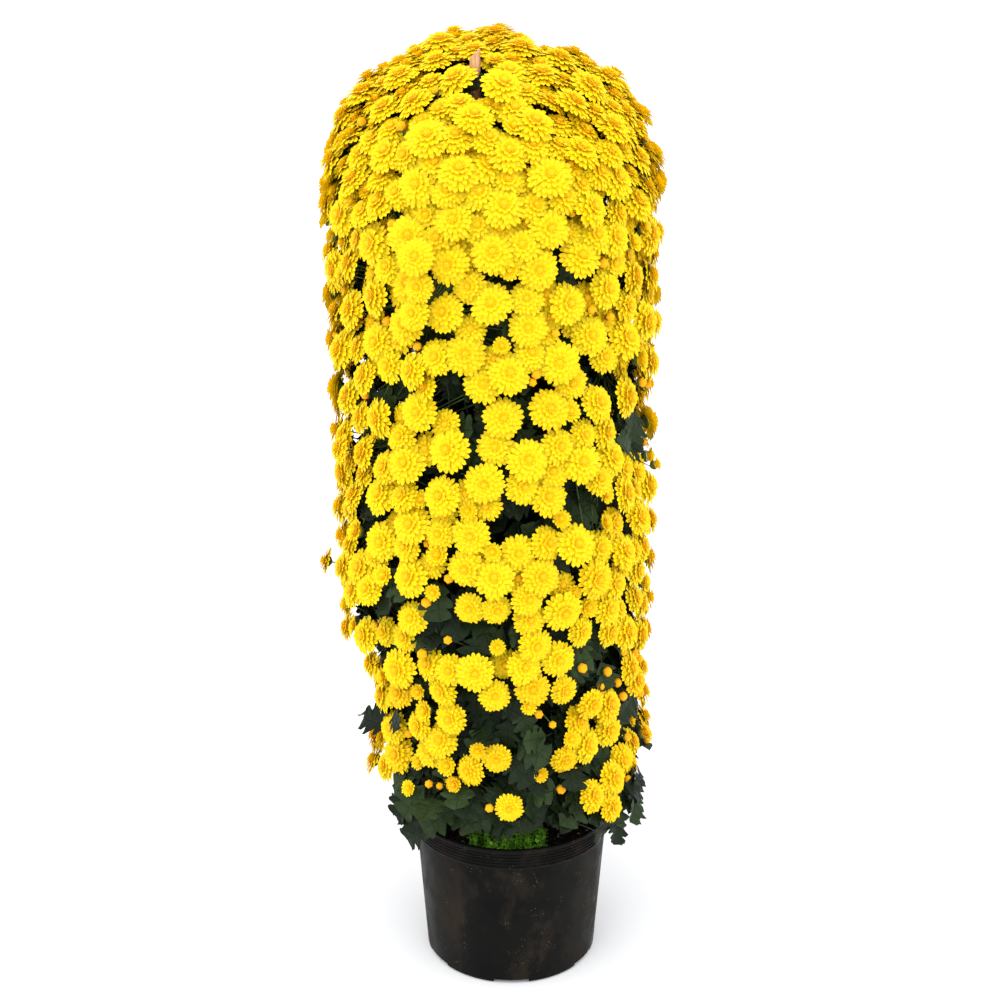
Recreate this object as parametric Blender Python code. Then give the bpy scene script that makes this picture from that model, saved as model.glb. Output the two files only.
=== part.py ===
"""A column-trained pot chrysanthemum in a black nursery pot, with its cane, soil and a few weeds.

Metres, +Z up. The origin is the middle of the pot's base, and the plant's front faces -Y.
An azimuth is counted from the front, in degrees, positive towards +X.
"""

import math
import random

import bmesh
import bpy
import numpy as np
from mathutils import Matrix, Vector
from mathutils.bvhtree import BVHTree

GAP = 0.0003  # clearance between pieces that touch
UP = Vector((0, 0, 1))

# Pot: a 28 cm nursery container with a ribbed rim band
POT_SIDES = 32
POT_HEIGHT = 0.220
POT_RIM_RADIUS = 0.140
POT_BASE_RADIUS = 0.122
POT_WALL = 0.0030
POT_FLOOR = 0.0035
RIM_BAND_HEIGHT = 0.032
RIM_STEP = 0.0030
RIM_RIB_DEPTH = 0.0014
RIM_RIB_SHARE = 0.40  # how far up the band its rib stands
BASE_CORNER = 0.006
DRAIN_NOTCHES = 6
DRAIN_NOTCH = (0.056, 0.034, 0.006)  # along the edge, inward, up

# Soil, with the holes that the stem and the cane stand in
SOIL_TOP = 0.195
HOLE_BOTTOM = 0.090

# Cane: a straight stake, cut off at a slant
CANE_FOOT = Vector((-0.037, -0.070, 0.0955))
CANE_TOP = Vector((-0.0455, -0.115, 1.262))
CANE_RADIUS = 0.0067
CANE_SIDES = 8
CANE_JOINTS = 4
CANE_CUT_RISE = 0.006

# Main stem: woody, eight flat sides, leaning a little as the column does
STEM_FOOT = 0.0950
STEM_TOP = 1.140
STEM_RADII = (0.011, 0.005)
STEM_SIDES = 8
STEM_RINGS = 9
LEAN = -0.026
LEAN_FROM, LEAN_TO = 0.35, 0.60

# Flowering surface: radius and height of the bloom centres, from the crown down to the skirt
OUTLINE = (
    (0.000, 1.286), (0.060, 1.278), (0.125, 1.252), (0.175, 1.210), (0.203, 1.158),
    (0.211, 1.100), (0.209, 0.950), (0.206, 0.800), (0.210, 0.620), (0.203, 0.490),
    (0.185, 0.410), (0.185, 0.360), (0.197, 0.300), (0.190, 0.262), (0.172, 0.238),
)
OUTLINE_SAMPLES = 400
OUTLINE_SMOOTHING = 25
GOLDEN_TURN = math.pi * (3 - math.sqrt(5))

# Blooms: how many places, how closely they stand by height, and their sizes
BLOOM_SEED = 11
BLOOM_PLACES = 508
CROWDING = ((0.285, 0.0), (0.32, 0.42), (0.45, 0.62), (0.70, 0.86), (0.95, 1.0))
PLACE_JITTER = 0.0045
UPTURN = 0.30
TILT_JITTER = 0.12
FULL_RADIUS = (0.0275, 0.0315)
YOUNG_RADIUS = (0.0150, 0.0200)
BUD_RADIUS = (0.0050, 0.0072)
YOUNG_SHARE = ((0.25, 0.26), (0.60, 0.16), (1.00, 0.05))
BUD_SHARE = ((0.25, 0.22), (0.60, 0.12), (1.00, 0.02))
STANDOFF = (-0.006, 0.002)
SPREAD_ROUNDS = 80
SPREAD_REACH = 1.0  # share of two blooms' radii that they keep between their middles

# Bare patches, where the leaves show between the blooms: azimuth, height and radius
FRONT_PATCHES = (
    (-50, 1.180, 0.014), (-14, 1.215, 0.020), (-21, 1.145, 0.014), (16, 1.150, 0.014),
    (-35, 1.025, 0.018), (15, 1.055, 0.012), (16, 0.985, 0.022), (53, 0.970, 0.018),
    (-17, 0.895, 0.022), (-41, 0.885, 0.024), (32, 0.870, 0.018), (-5, 0.820, 0.022),
    (20, 0.815, 0.020), (-34, 0.830, 0.016), (42, 0.810, 0.016), (-41, 0.760, 0.016),
    (15, 0.700, 0.026), (38, 0.700, 0.020), (-22, 0.680, 0.018), (11, 0.605, 0.020),
    (-40, 0.605, 0.024), (-20, 0.630, 0.018), (2, 0.550, 0.030), (30, 0.520, 0.036),
    (-20, 0.465, 0.022), (5, 0.435, 0.034), (40, 0.485, 0.026), (7, 0.350, 0.030),
    (24, 0.320, 0.026), (-16, 0.395, 0.020), (-40, 0.330, 0.018), (-9, 1.243, 0.012),
)
BACK_PATCHES = 58
BACK_PATCH_SEED = 5
BACK_PATCH_RADII = (0.012, 0.030)
BACK_PATCH_AZIMUTHS = (62, 298)
PATCH_REACH = 0.60  # share of a bloom's radius that still counts as inside a patch

# Flower heads as solids: low outer petals, raised ones between them, and a domed middle
PETALS = 5
HEAD_DOME = 0.36
HEAD_RAISE = 0.20
HEAD_WAIST = 0.79
HEAD_DEPTH = 0.36
STALK_END = 0.0019
SETTLE_ROUNDS = 30
SETTLE_SHRINK = 0.975
SETTLE_STEP = 0.0012

# Shoots: side branches that each end in a spray of blooms
SHOOTS = 27
SHOOT_PHASE = 0.35
SHOOT_CROWDING = ((0.22, 1.6), (0.45, 1.25), (0.70, 1.0), (1.20, 0.85))
HUB_DEPTH = 0.052
HUB_RADIUS = 0.0085
HUB_NECK = 0.68
SHOOT_RISE = 0.070
SHOOT_RADII = (0.0030, 0.0026)
SHOOT_BEND = 0.20  # share of the way out where the bare stem has its first ring
LEAF_JOINT = 0.93  # share of the way out where single leaves stand
SHOOT_NODE_LENGTH = 0.006
SHOOT_RINGS = (0, 0.20, 0.52, 0.80, 0.93, 1)  # shares of the way out where every shoot has a ring
CANE_CLEARANCE = 0.0075
WHORL_ROOM = 0.022
CANE_BOWS = (0, 0.015, -0.015, 0.03, -0.03, 0.045, -0.045, 0.06, -0.06)

# Whorls: leaves joined round the shoot, as (turn within the leaf's sector, share of the radius)
WHORL_SEED = 19
WHORL_LEAVES = 5
OUTER_WHORL = ((-0.50, 0.32), (-0.29, 0.74), (-0.17, 0.60), (0.0, 1.0), (0.17, 0.62), (0.29, 0.72))
INNER_WHORL = ((-0.50, 0.42), (-0.20, 0.86), (0.16, 1.0))
WHORLS = ((0.52, 0.086, INNER_WHORL), (0.80, 0.100, OUTER_WHORL))  # share of the way out, radius, outline
LOW_WHORL = (0.30, 0.080, INNER_WHORL)  # a third one on shoots that start below this height
LOW_SHOOTS = 0.48
WHORL_SIZES = (1.0, 0.93, 0.86, 0.79, 0.72, 0.65, 0.58, 0.5, 0.4, 0.3)
WHORL_THICKNESS = 0.004
WHORL_TILT = ((0.30, 1.1), (0.45, 0.35), (1.20, 0.2))
WHORL_RISE = 0.10

# Leaves: five-lobed blades, as shares of their length
LEAF_SEED = 7
LEAF_LENGTH = (0.066, 0.082)
LEAF_OUTLINE = ((0.30, 0.40), (0.43, 0.22), (0.67, 0.37), (0.75, 0.19), (1.00, 0.0))
LEAF_MIDDLE = 0.50
LEAF_THICKNESS = 0.0024
LEAF_TEST_LEAD = 0.0015
LEAF_PITCHES = (32, 20, 44, 10, 56, 0)
LEAF_SWINGS = (0.0, 0.35, -0.35)
LEAF_SHRINK = (1.0, 0.85, 0.7)

# Weeds: a low green tuft on the soil, along the front of the rim
WEED_SEED = 3
WEED_AZIMUTHS = (-26, 22)
WEED_RADII = (0.104, 0.116, 0.128)
WEED_COLUMNS = 8
WEED_PAD = 0.004
WEED_HEIGHT = (0.010, 0.020)

COLOURS = {
    "pot_plastic": ((0.020, 0.019, 0.018), 0.55),
    "potting_soil": ((0.045, 0.030, 0.020), 0.95),
    "cane_wood": ((0.600, 0.330, 0.150), 0.60),
    "woody_stem": ((0.130, 0.100, 0.050), 0.85),
    "leaf_green": ((0.030, 0.055, 0.022), 0.60),
    "petal_yellow": ((0.900, 0.620, 0.015), 0.55),
    "weed_green": ((0.110, 0.260, 0.030), 0.60),
}


# Materials and objects


def clear_scene():
    for obj in list(bpy.data.objects):
        bpy.data.objects.remove(obj)


def material(name):
    colour, roughness = COLOURS[name]
    made = bpy.data.materials.get(name) or bpy.data.materials.new(name)
    made.use_nodes = True
    shader = made.node_tree.nodes["Principled BSDF"]
    shader.inputs["Base Color"].default_value = (*colour, 1)
    shader.inputs["Roughness"].default_value = roughness
    shader.inputs["Metallic"].default_value = 0
    made.diffuse_color = (*colour, 1)
    return made


def add_object(name, bm, material_name):
    mesh = bpy.data.meshes.new(name)
    bm.to_mesh(mesh)
    bm.free()
    mesh.materials.append(material(material_name))
    obj = bpy.data.objects.new(name, mesh)
    bpy.context.scene.collection.objects.link(obj)
    return obj


def cut(obj, cutter_bm):
    """Takes the cutter's shape out of obj, and removes the cutter."""
    mesh = bpy.data.meshes.new("cutter")
    bmesh.ops.recalc_face_normals(cutter_bm, faces=cutter_bm.faces)
    cutter_bm.to_mesh(mesh)
    cutter_bm.free()
    cutter = bpy.data.objects.new("cutter", mesh)
    bpy.context.scene.collection.objects.link(cutter)
    boolean = obj.modifiers.new("cut", "BOOLEAN")
    boolean.object = cutter
    boolean.operation = "DIFFERENCE"
    boolean.solver = "EXACT"
    bpy.context.view_layer.update()
    shape = bpy.data.meshes.new_from_object(obj.evaluated_get(bpy.context.evaluated_depsgraph_get()))
    obj.modifiers.clear()
    obj.data = shape
    bpy.data.objects.remove(cutter)


# Growing one closed body face by face


def grow(bm, face, ring):
    """Carries a face out to the ring's points, with walls between, and returns the face at the end."""
    foot = list(face.verts)
    bm.faces.remove(face)
    tip = [bm.verts.new(point) for point in ring]
    for i, vert in enumerate(foot):
        after = (i + 1) % len(foot)
        bm.faces.new((vert, foot[after], tip[after], tip[i]))
    return bm.faces.new(tip)


def close_to_point(bm, face, point):
    """Replaces a face by a fan up to one point."""
    foot = list(face.verts)
    bm.faces.remove(face)
    apex = bm.verts.new(point)
    for i, vert in enumerate(foot):
        bm.faces.new((vert, foot[(i + 1) % len(foot)], apex))


def prism(rings):
    """A closed body through rings of equally many points, each listed counter-clockwise from above."""
    bm = bmesh.new()
    last = [bm.verts.new(point) for point in rings[0]]
    face = bm.faces.new(last)
    bm.faces.new([bm.verts.new(v.co) for v in last])  # the lower end, turned round below
    for ring in rings[1:]:
        face = grow(bm, face, ring)
    bmesh.ops.remove_doubles(bm, verts=bm.verts, dist=1e-7)
    bmesh.ops.recalc_face_normals(bm, faces=bm.faces)
    return bm


def across(axis):
    """Two unit vectors square to the axis and to each other, the first level where it can be."""
    side = UP.cross(axis)
    if side.length < 0.05:
        side = Vector((1, 0, 0)).cross(axis)
    side.normalize()
    return side, axis.cross(side)


def circle(centre, axis, radius, sides, phase=0.0):
    u, v = across(axis)
    turns = (phase + 2 * math.pi * i / sides for i in range(sides))
    return [centre + radius * (u * math.cos(t) + v * math.sin(t)) for t in turns]


# The flowering surface and what stands on it


def stepped(table, height):
    return float(np.interp(height, [row[0] for row in table], [row[1] for row in table]))


def lean(height):
    """How far the plant's axis stands to the side of the pot's axis, along X."""
    share = min(max((height - LEAN_FROM) / (LEAN_TO - LEAN_FROM), 0), 1)
    return LEAN * share * share * (3 - 2 * share)


def flowering_surface():
    """Radius, height, outward normal, and shares of the blooms and shoots passed, along the outline."""
    knots = np.array(OUTLINE)
    along = np.concatenate([[0], np.cumsum(np.hypot(*np.diff(knots, axis=0).T))])
    steps = np.linspace(0, along[-1], OUTLINE_SAMPLES)
    window = np.ones(OUTLINE_SMOOTHING) / OUTLINE_SMOOTHING
    radius, height = (
        np.convolve(np.pad(np.interp(steps, along, column), OUTLINE_SMOOTHING // 2, "edge"), window, "valid")
        for column in knots.T
    )
    run = np.gradient(np.stack([radius, height]), axis=1)
    run /= np.hypot(*run)
    blooms, shoots = (np.cumsum(radius * np.interp(height, *zip(*table))) for table in (CROWDING, SHOOT_CROWDING))
    return radius, height, -run[1], run[0], blooms / blooms[-1], shoots / shoots[-1]


SURFACE = flowering_surface()


BLOOMS_PASSED, SHOOTS_PASSED = SURFACE[4:]


def surface_point(share, passed, azimuth):
    """Point and outward normal where this share of the blooms or shoots is passed, at an azimuth in radians."""
    radius, height, out, lift = (float(np.interp(share, passed, column)) for column in SURFACE[:4])
    point = Vector((lean(height) + radius * math.sin(azimuth), -radius * math.cos(azimuth), height))
    return point, Vector((out * math.sin(azimuth), -out * math.cos(azimuth), lift)).normalized()


def patch_centre(azimuth, height):
    radius = float(np.interp(height, SURFACE[1][::-1], SURFACE[0][::-1]))
    turn = math.radians(azimuth)
    return Vector((lean(height) + radius * math.sin(turn), -radius * math.cos(turn), height))


def bare_patches():
    """Centre and radius of each patch: those of the front, and scattered ones for the other sides."""
    draw = random.Random(BACK_PATCH_SEED)
    patches = [(patch_centre(azimuth, height), radius) for azimuth, height, radius in FRONT_PATCHES]
    for _ in range(BACK_PATCHES):
        azimuth = draw.uniform(*BACK_PATCH_AZIMUTHS)
        height = 0.26 + 0.92 * draw.random() ** 1.35
        patches.append((patch_centre(azimuth, height), draw.uniform(*BACK_PATCH_RADII)))
    return patches


def bloom_places():
    """Every bloom and bud: (kind, radius, centre, axis), on a golden-angle spiral with a little disorder."""
    draw = random.Random(BLOOM_SEED)
    patches = bare_patches()
    places = []
    for i in range(BLOOM_PLACES):
        centre, normal = surface_point((i + 0.5) / BLOOM_PLACES, BLOOMS_PASSED, i * GOLDEN_TURN)
        u, v = across(normal)
        centre += u * draw.uniform(-PLACE_JITTER, PLACE_JITTER) + v * draw.uniform(-PLACE_JITTER, PLACE_JITTER)
        centre += normal * draw.uniform(*STANDOFF)
        tilt = u * draw.gauss(0, TILT_JITTER) + v * draw.gauss(0, TILT_JITTER)
        axis = (normal + UP * UPTURN + tilt).normalized()
        kind, radius = kind_and_radius(centre.z, draw)
        if all((centre - middle).length > wide + PATCH_REACH * radius for middle, wide in patches):
            places.append((kind, radius, centre, axis))
    return spread_out(places, patches)


def kind_and_radius(height, draw):
    size, chance = draw.random(), draw.random()
    buds, young = stepped(BUD_SHARE, height), stepped(YOUNG_SHARE, height)
    kind, sizes = "full", FULL_RADIUS
    if chance < buds:
        kind, sizes = "bud", BUD_RADIUS
    elif chance < buds + young:
        kind, sizes = "young", YOUNG_RADIUS
    return kind, sizes[0] + size * (sizes[1] - sizes[0])


def spread_out(places, patches):
    """Moves blooms over the surface off each other, off the bare patches and off the cane, bit by bit."""
    centres = np.array([place[2] for place in places])
    radii = np.array([place[1] for place in places])
    fixed = np.array([middle for middle, _ in patches])
    fixed_radii = np.array([wide for _, wide in patches])
    standoff = on_surface(centres)[1]
    for _ in range(SPREAD_ROUNDS):
        shift = pushes(centres, centres, SPREAD_REACH * (radii[:, None] + radii)) / 2
        shift += pushes(centres, fixed, PATCH_REACH * radii[:, None] + fixed_radii) / 2
        cane = np.array([cane_point(min(height, CANE_TOP.z)) for height in centres[:, 2]])
        away = centres - cane
        distance = np.linalg.norm(away, axis=1)
        room = np.clip(0.92 * radii + CANE_RADIUS - distance, 0, None)
        centres = on_surface(centres + shift + away / distance[:, None] * room[:, None], standoff)[0]
    return [(kind, radius, Vector(c), axis) for (kind, radius, _, axis), c in zip(places, centres)]


def on_surface(points, standoff=None):
    """The points moved straight to their standoff from the flowering surface, and the standoff they had."""
    middle = np.array([lean(height) for height in points[:, 2]])
    across_x, across_y = points[:, 0] - middle, points[:, 1]
    reach = np.hypot(across_x, across_y)
    profile, normals = np.stack(SURFACE[:2], axis=1), np.stack(SURFACE[2:4], axis=1)
    section = np.stack([reach, points[:, 2]], axis=1)
    nearest = np.linalg.norm(section[:, None] - profile[None], axis=2).argmin(axis=1)
    had = ((section - profile[nearest]) * normals[nearest]).sum(axis=1)
    if standoff is not None:
        section = section + normals[nearest] * (standoff - had)[:, None]
    turned = np.stack([across_x, across_y], axis=1) / np.maximum(reach, 1e-9)[:, None] * section[:, :1]
    return np.column_stack([middle + turned[:, 0], turned[:, 1], section[:, 1]]), had


def pushes(centres, others, room):
    """Sum of the moves that take each centre out of the room that the others keep."""
    away = centres[:, None] - others[None]
    distance = np.linalg.norm(away, axis=2)
    short = np.where(distance > 1e-9, np.clip(room - distance, 0, None), 0)
    return (away / np.maximum(distance, 1e-9)[:, :, None] * short[:, :, None]).sum(axis=1)


def cane_point(height):
    share = (height - CANE_FOOT.z) / (CANE_TOP.z - CANE_FOOT.z)
    return CANE_FOOT.lerp(CANE_TOP, share)


# Pot, soil, cane, main stem and weeds


def pot_profile():
    """Half section of the pot, from the middle of its underside, up the outside and down the inside."""
    band = POT_HEIGHT - RIM_BAND_HEIGHT
    wall_top = POT_RIM_RADIUS - RIM_STEP - RIM_RIB_DEPTH
    profile = [
        (POT_BASE_RADIUS - BASE_CORNER, 0),
        (POT_BASE_RADIUS - BASE_CORNER / 4, BASE_CORNER / 3),
        (POT_BASE_RADIUS, BASE_CORNER),
        (wall_top, band),
        (wall_top + RIM_STEP, band + RIM_STEP),
    ]
    rib = band + RIM_RIB_SHARE * RIM_BAND_HEIGHT
    profile += [(wall_top + RIM_STEP, rib), (wall_top + RIM_STEP + RIM_RIB_DEPTH, rib + 0.002)]
    profile += [(wall_top + RIM_STEP, rib + 0.004)]
    lip = POT_HEIGHT - 0.005
    profile += [
        (POT_RIM_RADIUS, lip),
        (POT_RIM_RADIUS - 0.0012, POT_HEIGHT),
        (POT_RIM_RADIUS - POT_WALL - RIM_STEP, POT_HEIGHT),
        (inner_radius(lip), lip),
        (inner_radius(POT_FLOOR), POT_FLOOR),
    ]
    return profile


def inner_radius(height):
    """Radius of the pot's inside at a height."""
    share = height / POT_HEIGHT
    return POT_BASE_RADIUS + share * (POT_RIM_RADIUS - RIM_STEP - POT_BASE_RADIUS) - POT_WALL - 0.0012


def ring_at(radius, height, sides=POT_SIDES):
    return circle(Vector((0, 0, height)), UP, radius, sides)


def make_pot():
    pot = add_object("pot", prism([ring_at(*point) for point in pot_profile()]), "pot_plastic")
    for notch in range(DRAIN_NOTCHES):
        cutter = bmesh.new()
        bmesh.ops.create_cube(cutter, size=1)
        along_edge, inward, rise = DRAIN_NOTCH
        bmesh.ops.scale(cutter, vec=(along_edge, 2 * inward, 2 * rise), verts=cutter.verts)
        turn = Matrix.Rotation(2 * math.pi * notch / DRAIN_NOTCHES, 4, "Z")
        place = Matrix.Translation((0, -POT_BASE_RADIUS - 0.004, 0))
        bmesh.ops.transform(cutter, matrix=turn @ place, verts=cutter.verts)
        cut(pot, cutter)


def make_soil():
    heights = (POT_FLOOR + GAP, SOIL_TOP)
    rings = [ring_at(inner_radius(h) - 2 * GAP, h) for h in heights]
    soil = add_object("soil", prism(rings), "potting_soil")
    for middle, radius, sides in (
        (stem_centre, STEM_RADII[0], STEM_SIDES),
        (cane_point, CANE_RADIUS, CANE_SIDES),
    ):
        hole_radius = radius + 1.2 * GAP / math.cos(math.pi / sides)
        spans = (HOLE_BOTTOM, SOIL_TOP + 0.01)
        rings = [circle(middle(h), UP, hole_radius, sides, math.pi / sides) for h in spans]
        cut(soil, prism(rings))


def make_cane():
    """A straight stake with slight swellings at its joints and a slanted cut on top."""
    rings = []
    for joint in range(CANE_JOINTS + 1):
        height = CANE_FOOT.z + (CANE_TOP.z - CANE_FOOT.z) * joint / CANE_JOINTS
        inner_joint = 0 < joint < CANE_JOINTS
        offsets = (-0.008, 0, 0.008) if inner_joint else (0,)
        for offset in offsets:
            swell = 1.12 if inner_joint and offset == 0 else 0.94
            ring = circle(cane_point(height + offset), UP, CANE_RADIUS * swell, CANE_SIDES, math.pi / CANE_SIDES)
            rings.append(ring)
    for point in rings[-1]:
        point.z += CANE_CUT_RISE * (point.x - CANE_TOP.x) / CANE_RADIUS
    add_object("cane", prism(rings), "cane_wood")


def stem_radius(height):
    share = (height - STEM_FOOT) / (STEM_TOP - STEM_FOOT)
    return STEM_RADII[0] + share * (STEM_RADII[1] - STEM_RADII[0])


def stem_heights():
    return [STEM_FOOT + (STEM_TOP - STEM_FOOT) * i / STEM_RINGS for i in range(STEM_RINGS + 1)]


def stem_centre(height):
    """Middle of the main stem, straight between its rings."""
    knots = stem_heights()
    return Vector((float(np.interp(height, knots, [lean(h) for h in knots])), 0, height))


def make_main_stem():
    half_side = math.pi / STEM_SIDES
    rings = [circle(stem_centre(h), UP, stem_radius(h), STEM_SIDES, half_side) for h in stem_heights()]
    add_object("main_stem", prism(rings), "woody_stem")


def make_weeds():
    """A pad along the front of the rim whose cells each rise into one leaning leaf."""
    draw = random.Random(WEED_SEED)
    first, last = (math.radians(a) for a in WEED_AZIMUTHS)
    turns = [first + (last - first) * i / (WEED_COLUMNS - 1) for i in range(WEED_COLUMNS)]
    bm = bmesh.new()
    levels = (SOIL_TOP + GAP, SOIL_TOP + GAP + WEED_PAD)
    grid = [
        [[bm.verts.new((r * math.sin(t), -r * math.cos(t), level)) for t in turns] for r in WEED_RADII]
        for level in levels
    ]
    low, high = grid
    rows = len(WEED_RADII)
    cells = []
    for i in range(rows - 1):
        for j in range(WEED_COLUMNS - 1):
            bm.faces.new((low[i][j], low[i + 1][j], low[i + 1][j + 1], low[i][j + 1]))
            cells.append(bm.faces.new((high[i][j], high[i][j + 1], high[i + 1][j + 1], high[i + 1][j])))
    edge = [(i, 0) for i in range(rows)] + [(rows - 1, j) for j in range(1, WEED_COLUMNS)]
    edge += [(i, WEED_COLUMNS - 1) for i in range(rows - 2, -1, -1)]
    edge += [(0, j) for j in range(WEED_COLUMNS - 2, 0, -1)]
    for (a, b), (c, d) in zip(edge, edge[1:] + edge[:1]):
        bm.faces.new((low[a][b], high[a][b], high[c][d], low[c][d]))
    bmesh.ops.recalc_face_normals(bm, faces=bm.faces)
    for cell in cells:
        middle = cell.calc_center_median()
        corners = [v.co.copy() for v in cell.verts]
        rise = draw.uniform(*WEED_HEIGHT)
        drift = Vector((draw.uniform(-0.003, 0.003), draw.uniform(-0.004, 0.002), 0))
        belly = [middle + (c - middle) * 0.62 + drift * 0.4 + UP * rise * 0.55 for c in corners]
        close_to_point(bm, grow(bm, cell, belly), middle + drift + UP * rise)
    add_object("weeds", bm, "weed_green")


# Sprays: a hub, and a stalk from each of its faces to a flower head


def make_hub(centre, axis, blooms):
    """A low faceted dome whose flat back rests on the shoot. It returns the body and its stalk faces."""
    sides = max(3, math.ceil(blooms / 3))
    bm = bmesh.new()
    bm.faces.layers.int.new("head")
    back = [bm.verts.new(p) for p in circle(centre, axis, HUB_RADIUS, sides)]
    neck_centre = centre + axis * HUB_RADIUS * 0.62
    neck = [bm.verts.new(p) for p in circle(neck_centre, axis, HUB_RADIUS * HUB_NECK, sides, math.pi / sides)]
    apex = bm.verts.new(centre + axis * HUB_RADIUS * 0.95)
    bm.faces.new(back[::-1])
    faces = []
    for i in range(sides):
        after = (i + 1) % sides
        faces.append(bm.faces.new((back[i], back[after], neck[i])))
        faces.append(bm.faces.new((back[after], neck[after], neck[i])))
        faces.append(bm.faces.new((neck[i], neck[after], apex)))
    return bm, faces


def matched(faces, heads, centre):
    """One hub face for each head, by swapping until every stalk leaves as straight as it can."""
    aims = [(head[2] - centre).normalized() for head in heads]
    looks = [(face.calc_center_median() - centre).normalized() for face in faces]
    order = list(range(len(faces)))
    improved = True
    while improved:
        improved = False
        for i in range(len(order)):
            for j in range(i):
                now = _match(aims, looks, order, i) + _match(aims, looks, order, j)
                order[i], order[j] = order[j], order[i]
                if _match(aims, looks, order, i) + _match(aims, looks, order, j) > now + 1e-9:
                    improved = True
                else:
                    order[i], order[j] = order[j], order[i]
    return [faces[order[i]] for i in range(len(heads))]


def _match(aims, looks, order, i):
    return aims[i].dot(looks[order[i]]) if i < len(aims) else 0.0


def add_stalk(bm, face, end, axis):
    """A three-sided stalk from a hub face to the end point. It returns the face at its end."""
    start = face.calc_center_median()
    way = (end - start).normalized()
    facing = (way + axis).normalized()
    u, v = across(facing)
    first = face.verts[0].co - start
    phase = math.atan2(first.dot(v), first.dot(u))
    return grow(bm, face, circle(end, facing, STALK_END, 3, phase))


def open_head(bm, face, centre, axis, radius):
    """Spreads the stalk's end into a domed rosette: low petal tips, and raised ones between them."""
    foot = list(face.verts)
    u, v = across(axis)
    first = foot[0].co - centre
    phase = math.atan2(first.dot(v), first.dot(u))
    count = 2 * PETALS
    rim = []
    for i in range(count):
        turn = phase + 2 * math.pi * i / count
        reach, rise = (radius, 0.0) if i % 2 == 0 else (radius * HEAD_WAIST, radius * HEAD_RAISE)
        rim.append(bm.verts.new(centre + reach * (u * math.cos(turn) + v * math.sin(turn)) + axis * rise))
    bm.faces.remove(face)
    apex = bm.verts.new(centre + axis * radius * HEAD_DOME)
    owner = [foot[round(3 * i / count) % 3] for i in range(count)]
    for i in range(count):
        after = (i + 1) % count
        bm.faces.new((rim[i], rim[after], apex))
        bm.faces.new((owner[i], rim[after], rim[i]))
        if owner[i] is not owner[after]:
            bm.faces.new((owner[i], owner[after], rim[after]))


def close_bud(bm, face, centre, axis, radius):
    """A small pointed bud on the end of a stalk."""
    u, v = across(axis)
    first = face.verts[0].co - centre
    phase = math.atan2(first.dot(v), first.dot(u))
    close_to_point(bm, grow(bm, face, circle(centre, axis, radius, 3, phase)), centre + axis * radius)


def make_spray(seat, heads):
    """The body of one spray. Each face remembers its head, from 1, or 0 where it belongs to the hub."""
    _, axis, centre = seat
    bm, faces = make_hub(centre, axis, len(heads))
    owner = bm.faces.layers.int["head"]
    for number, (face, head) in enumerate(zip(matched(faces, heads, centre), heads), 1):
        kind, radius, middle, look = head
        before = set(bm.faces)
        depth = radius if kind == "bud" else radius * HEAD_DEPTH
        end = add_stalk(bm, face, middle - look * depth, look)
        if kind == "bud":
            close_bud(bm, end, middle, look, radius)
        else:
            open_head(bm, end, middle, look, radius)
        for made in set(bm.faces) - before:
            made[owner] = number
    bmesh.ops.triangulate(bm, faces=bm.faces)
    return bm


def shoot_seats():
    """Hub centre and axis of each shoot, on a golden-angle spiral under the flowering surface."""
    seats = []
    for i in range(SHOOTS):
        point, normal = surface_point((i + 0.5) / SHOOTS, SHOOTS_PASSED, (i + SHOOT_PHASE) * GOLDEN_TURN)
        seats.append((point, normal, point - normal * HUB_DEPTH))
    return seats


def shared_out(places, seats):
    """The blooms of each shoot: each goes to the nearest seat on the surface."""
    groups = [[] for _ in seats]
    for place in places:
        distances = [(place[2] - point).length for point, _, _ in seats]
        groups[distances.index(min(distances))].append(place)
    return groups


# Shoots: leafy side branches from the main stem to the sprays


def stem_face_point(side, height, offset):
    """A point just off one flat side of the main stem."""
    turn = 2 * math.pi * side / STEM_SIDES
    normal = Vector((math.cos(turn), math.sin(turn), 0))
    flat = stem_radius(height) * math.cos(math.pi / STEM_SIDES)
    return stem_centre(height) + normal * (flat + GAP) + Vector((-normal.y, normal.x, 0)) * offset


def shoot_foot(seat):
    """The stem side nearest the seat's direction that doesn't face the cane, and the foot's height."""
    height = min(max(seat.z - SHOOT_RISE, SOIL_TOP + 0.015), STEM_TOP - 0.012)
    to_cane = (cane_point(height) - stem_centre(height)).xy.normalized()
    aim = (seat - stem_centre(height)).xy.normalized()
    best = max(
        range(STEM_SIDES),
        key=lambda s: _turned(s).dot(aim) - 4 * max(_turned(s).dot(to_cane) - 0.72, 0),
    )
    return best, height


def _turned(side):
    turn = 2 * math.pi * side / STEM_SIDES
    return Vector((math.cos(turn), math.sin(turn)))


def on_curve(bends, share):
    """Point on a cubic Bezier curve."""
    rest = 1 - share
    weights = (rest**3, 3 * share * rest**2, 3 * share * share * rest, share**3)
    return sum((weight * bend for weight, bend in zip(weights, bends)), Vector())


def room_to_cane(bends):
    """How far the straight runs between a shoot's rings stay off the cane, and its whorls more so."""
    rings = [on_curve(bends, share) for share in SHOOT_RINGS]
    points = [low.lerp(high, step / 8) for low, high in zip(rings, rings[1:]) for step in range(9)]
    whorls = [on_curve(bends, share) for share, _, _ in (LOW_WHORL, *WHORLS)]
    off = [(point - cane_point(min(point.z, CANE_TOP.z))).length for point in points + whorls]
    return min(min(off), min(off[len(points):]) - WHORL_ROOM)


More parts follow.
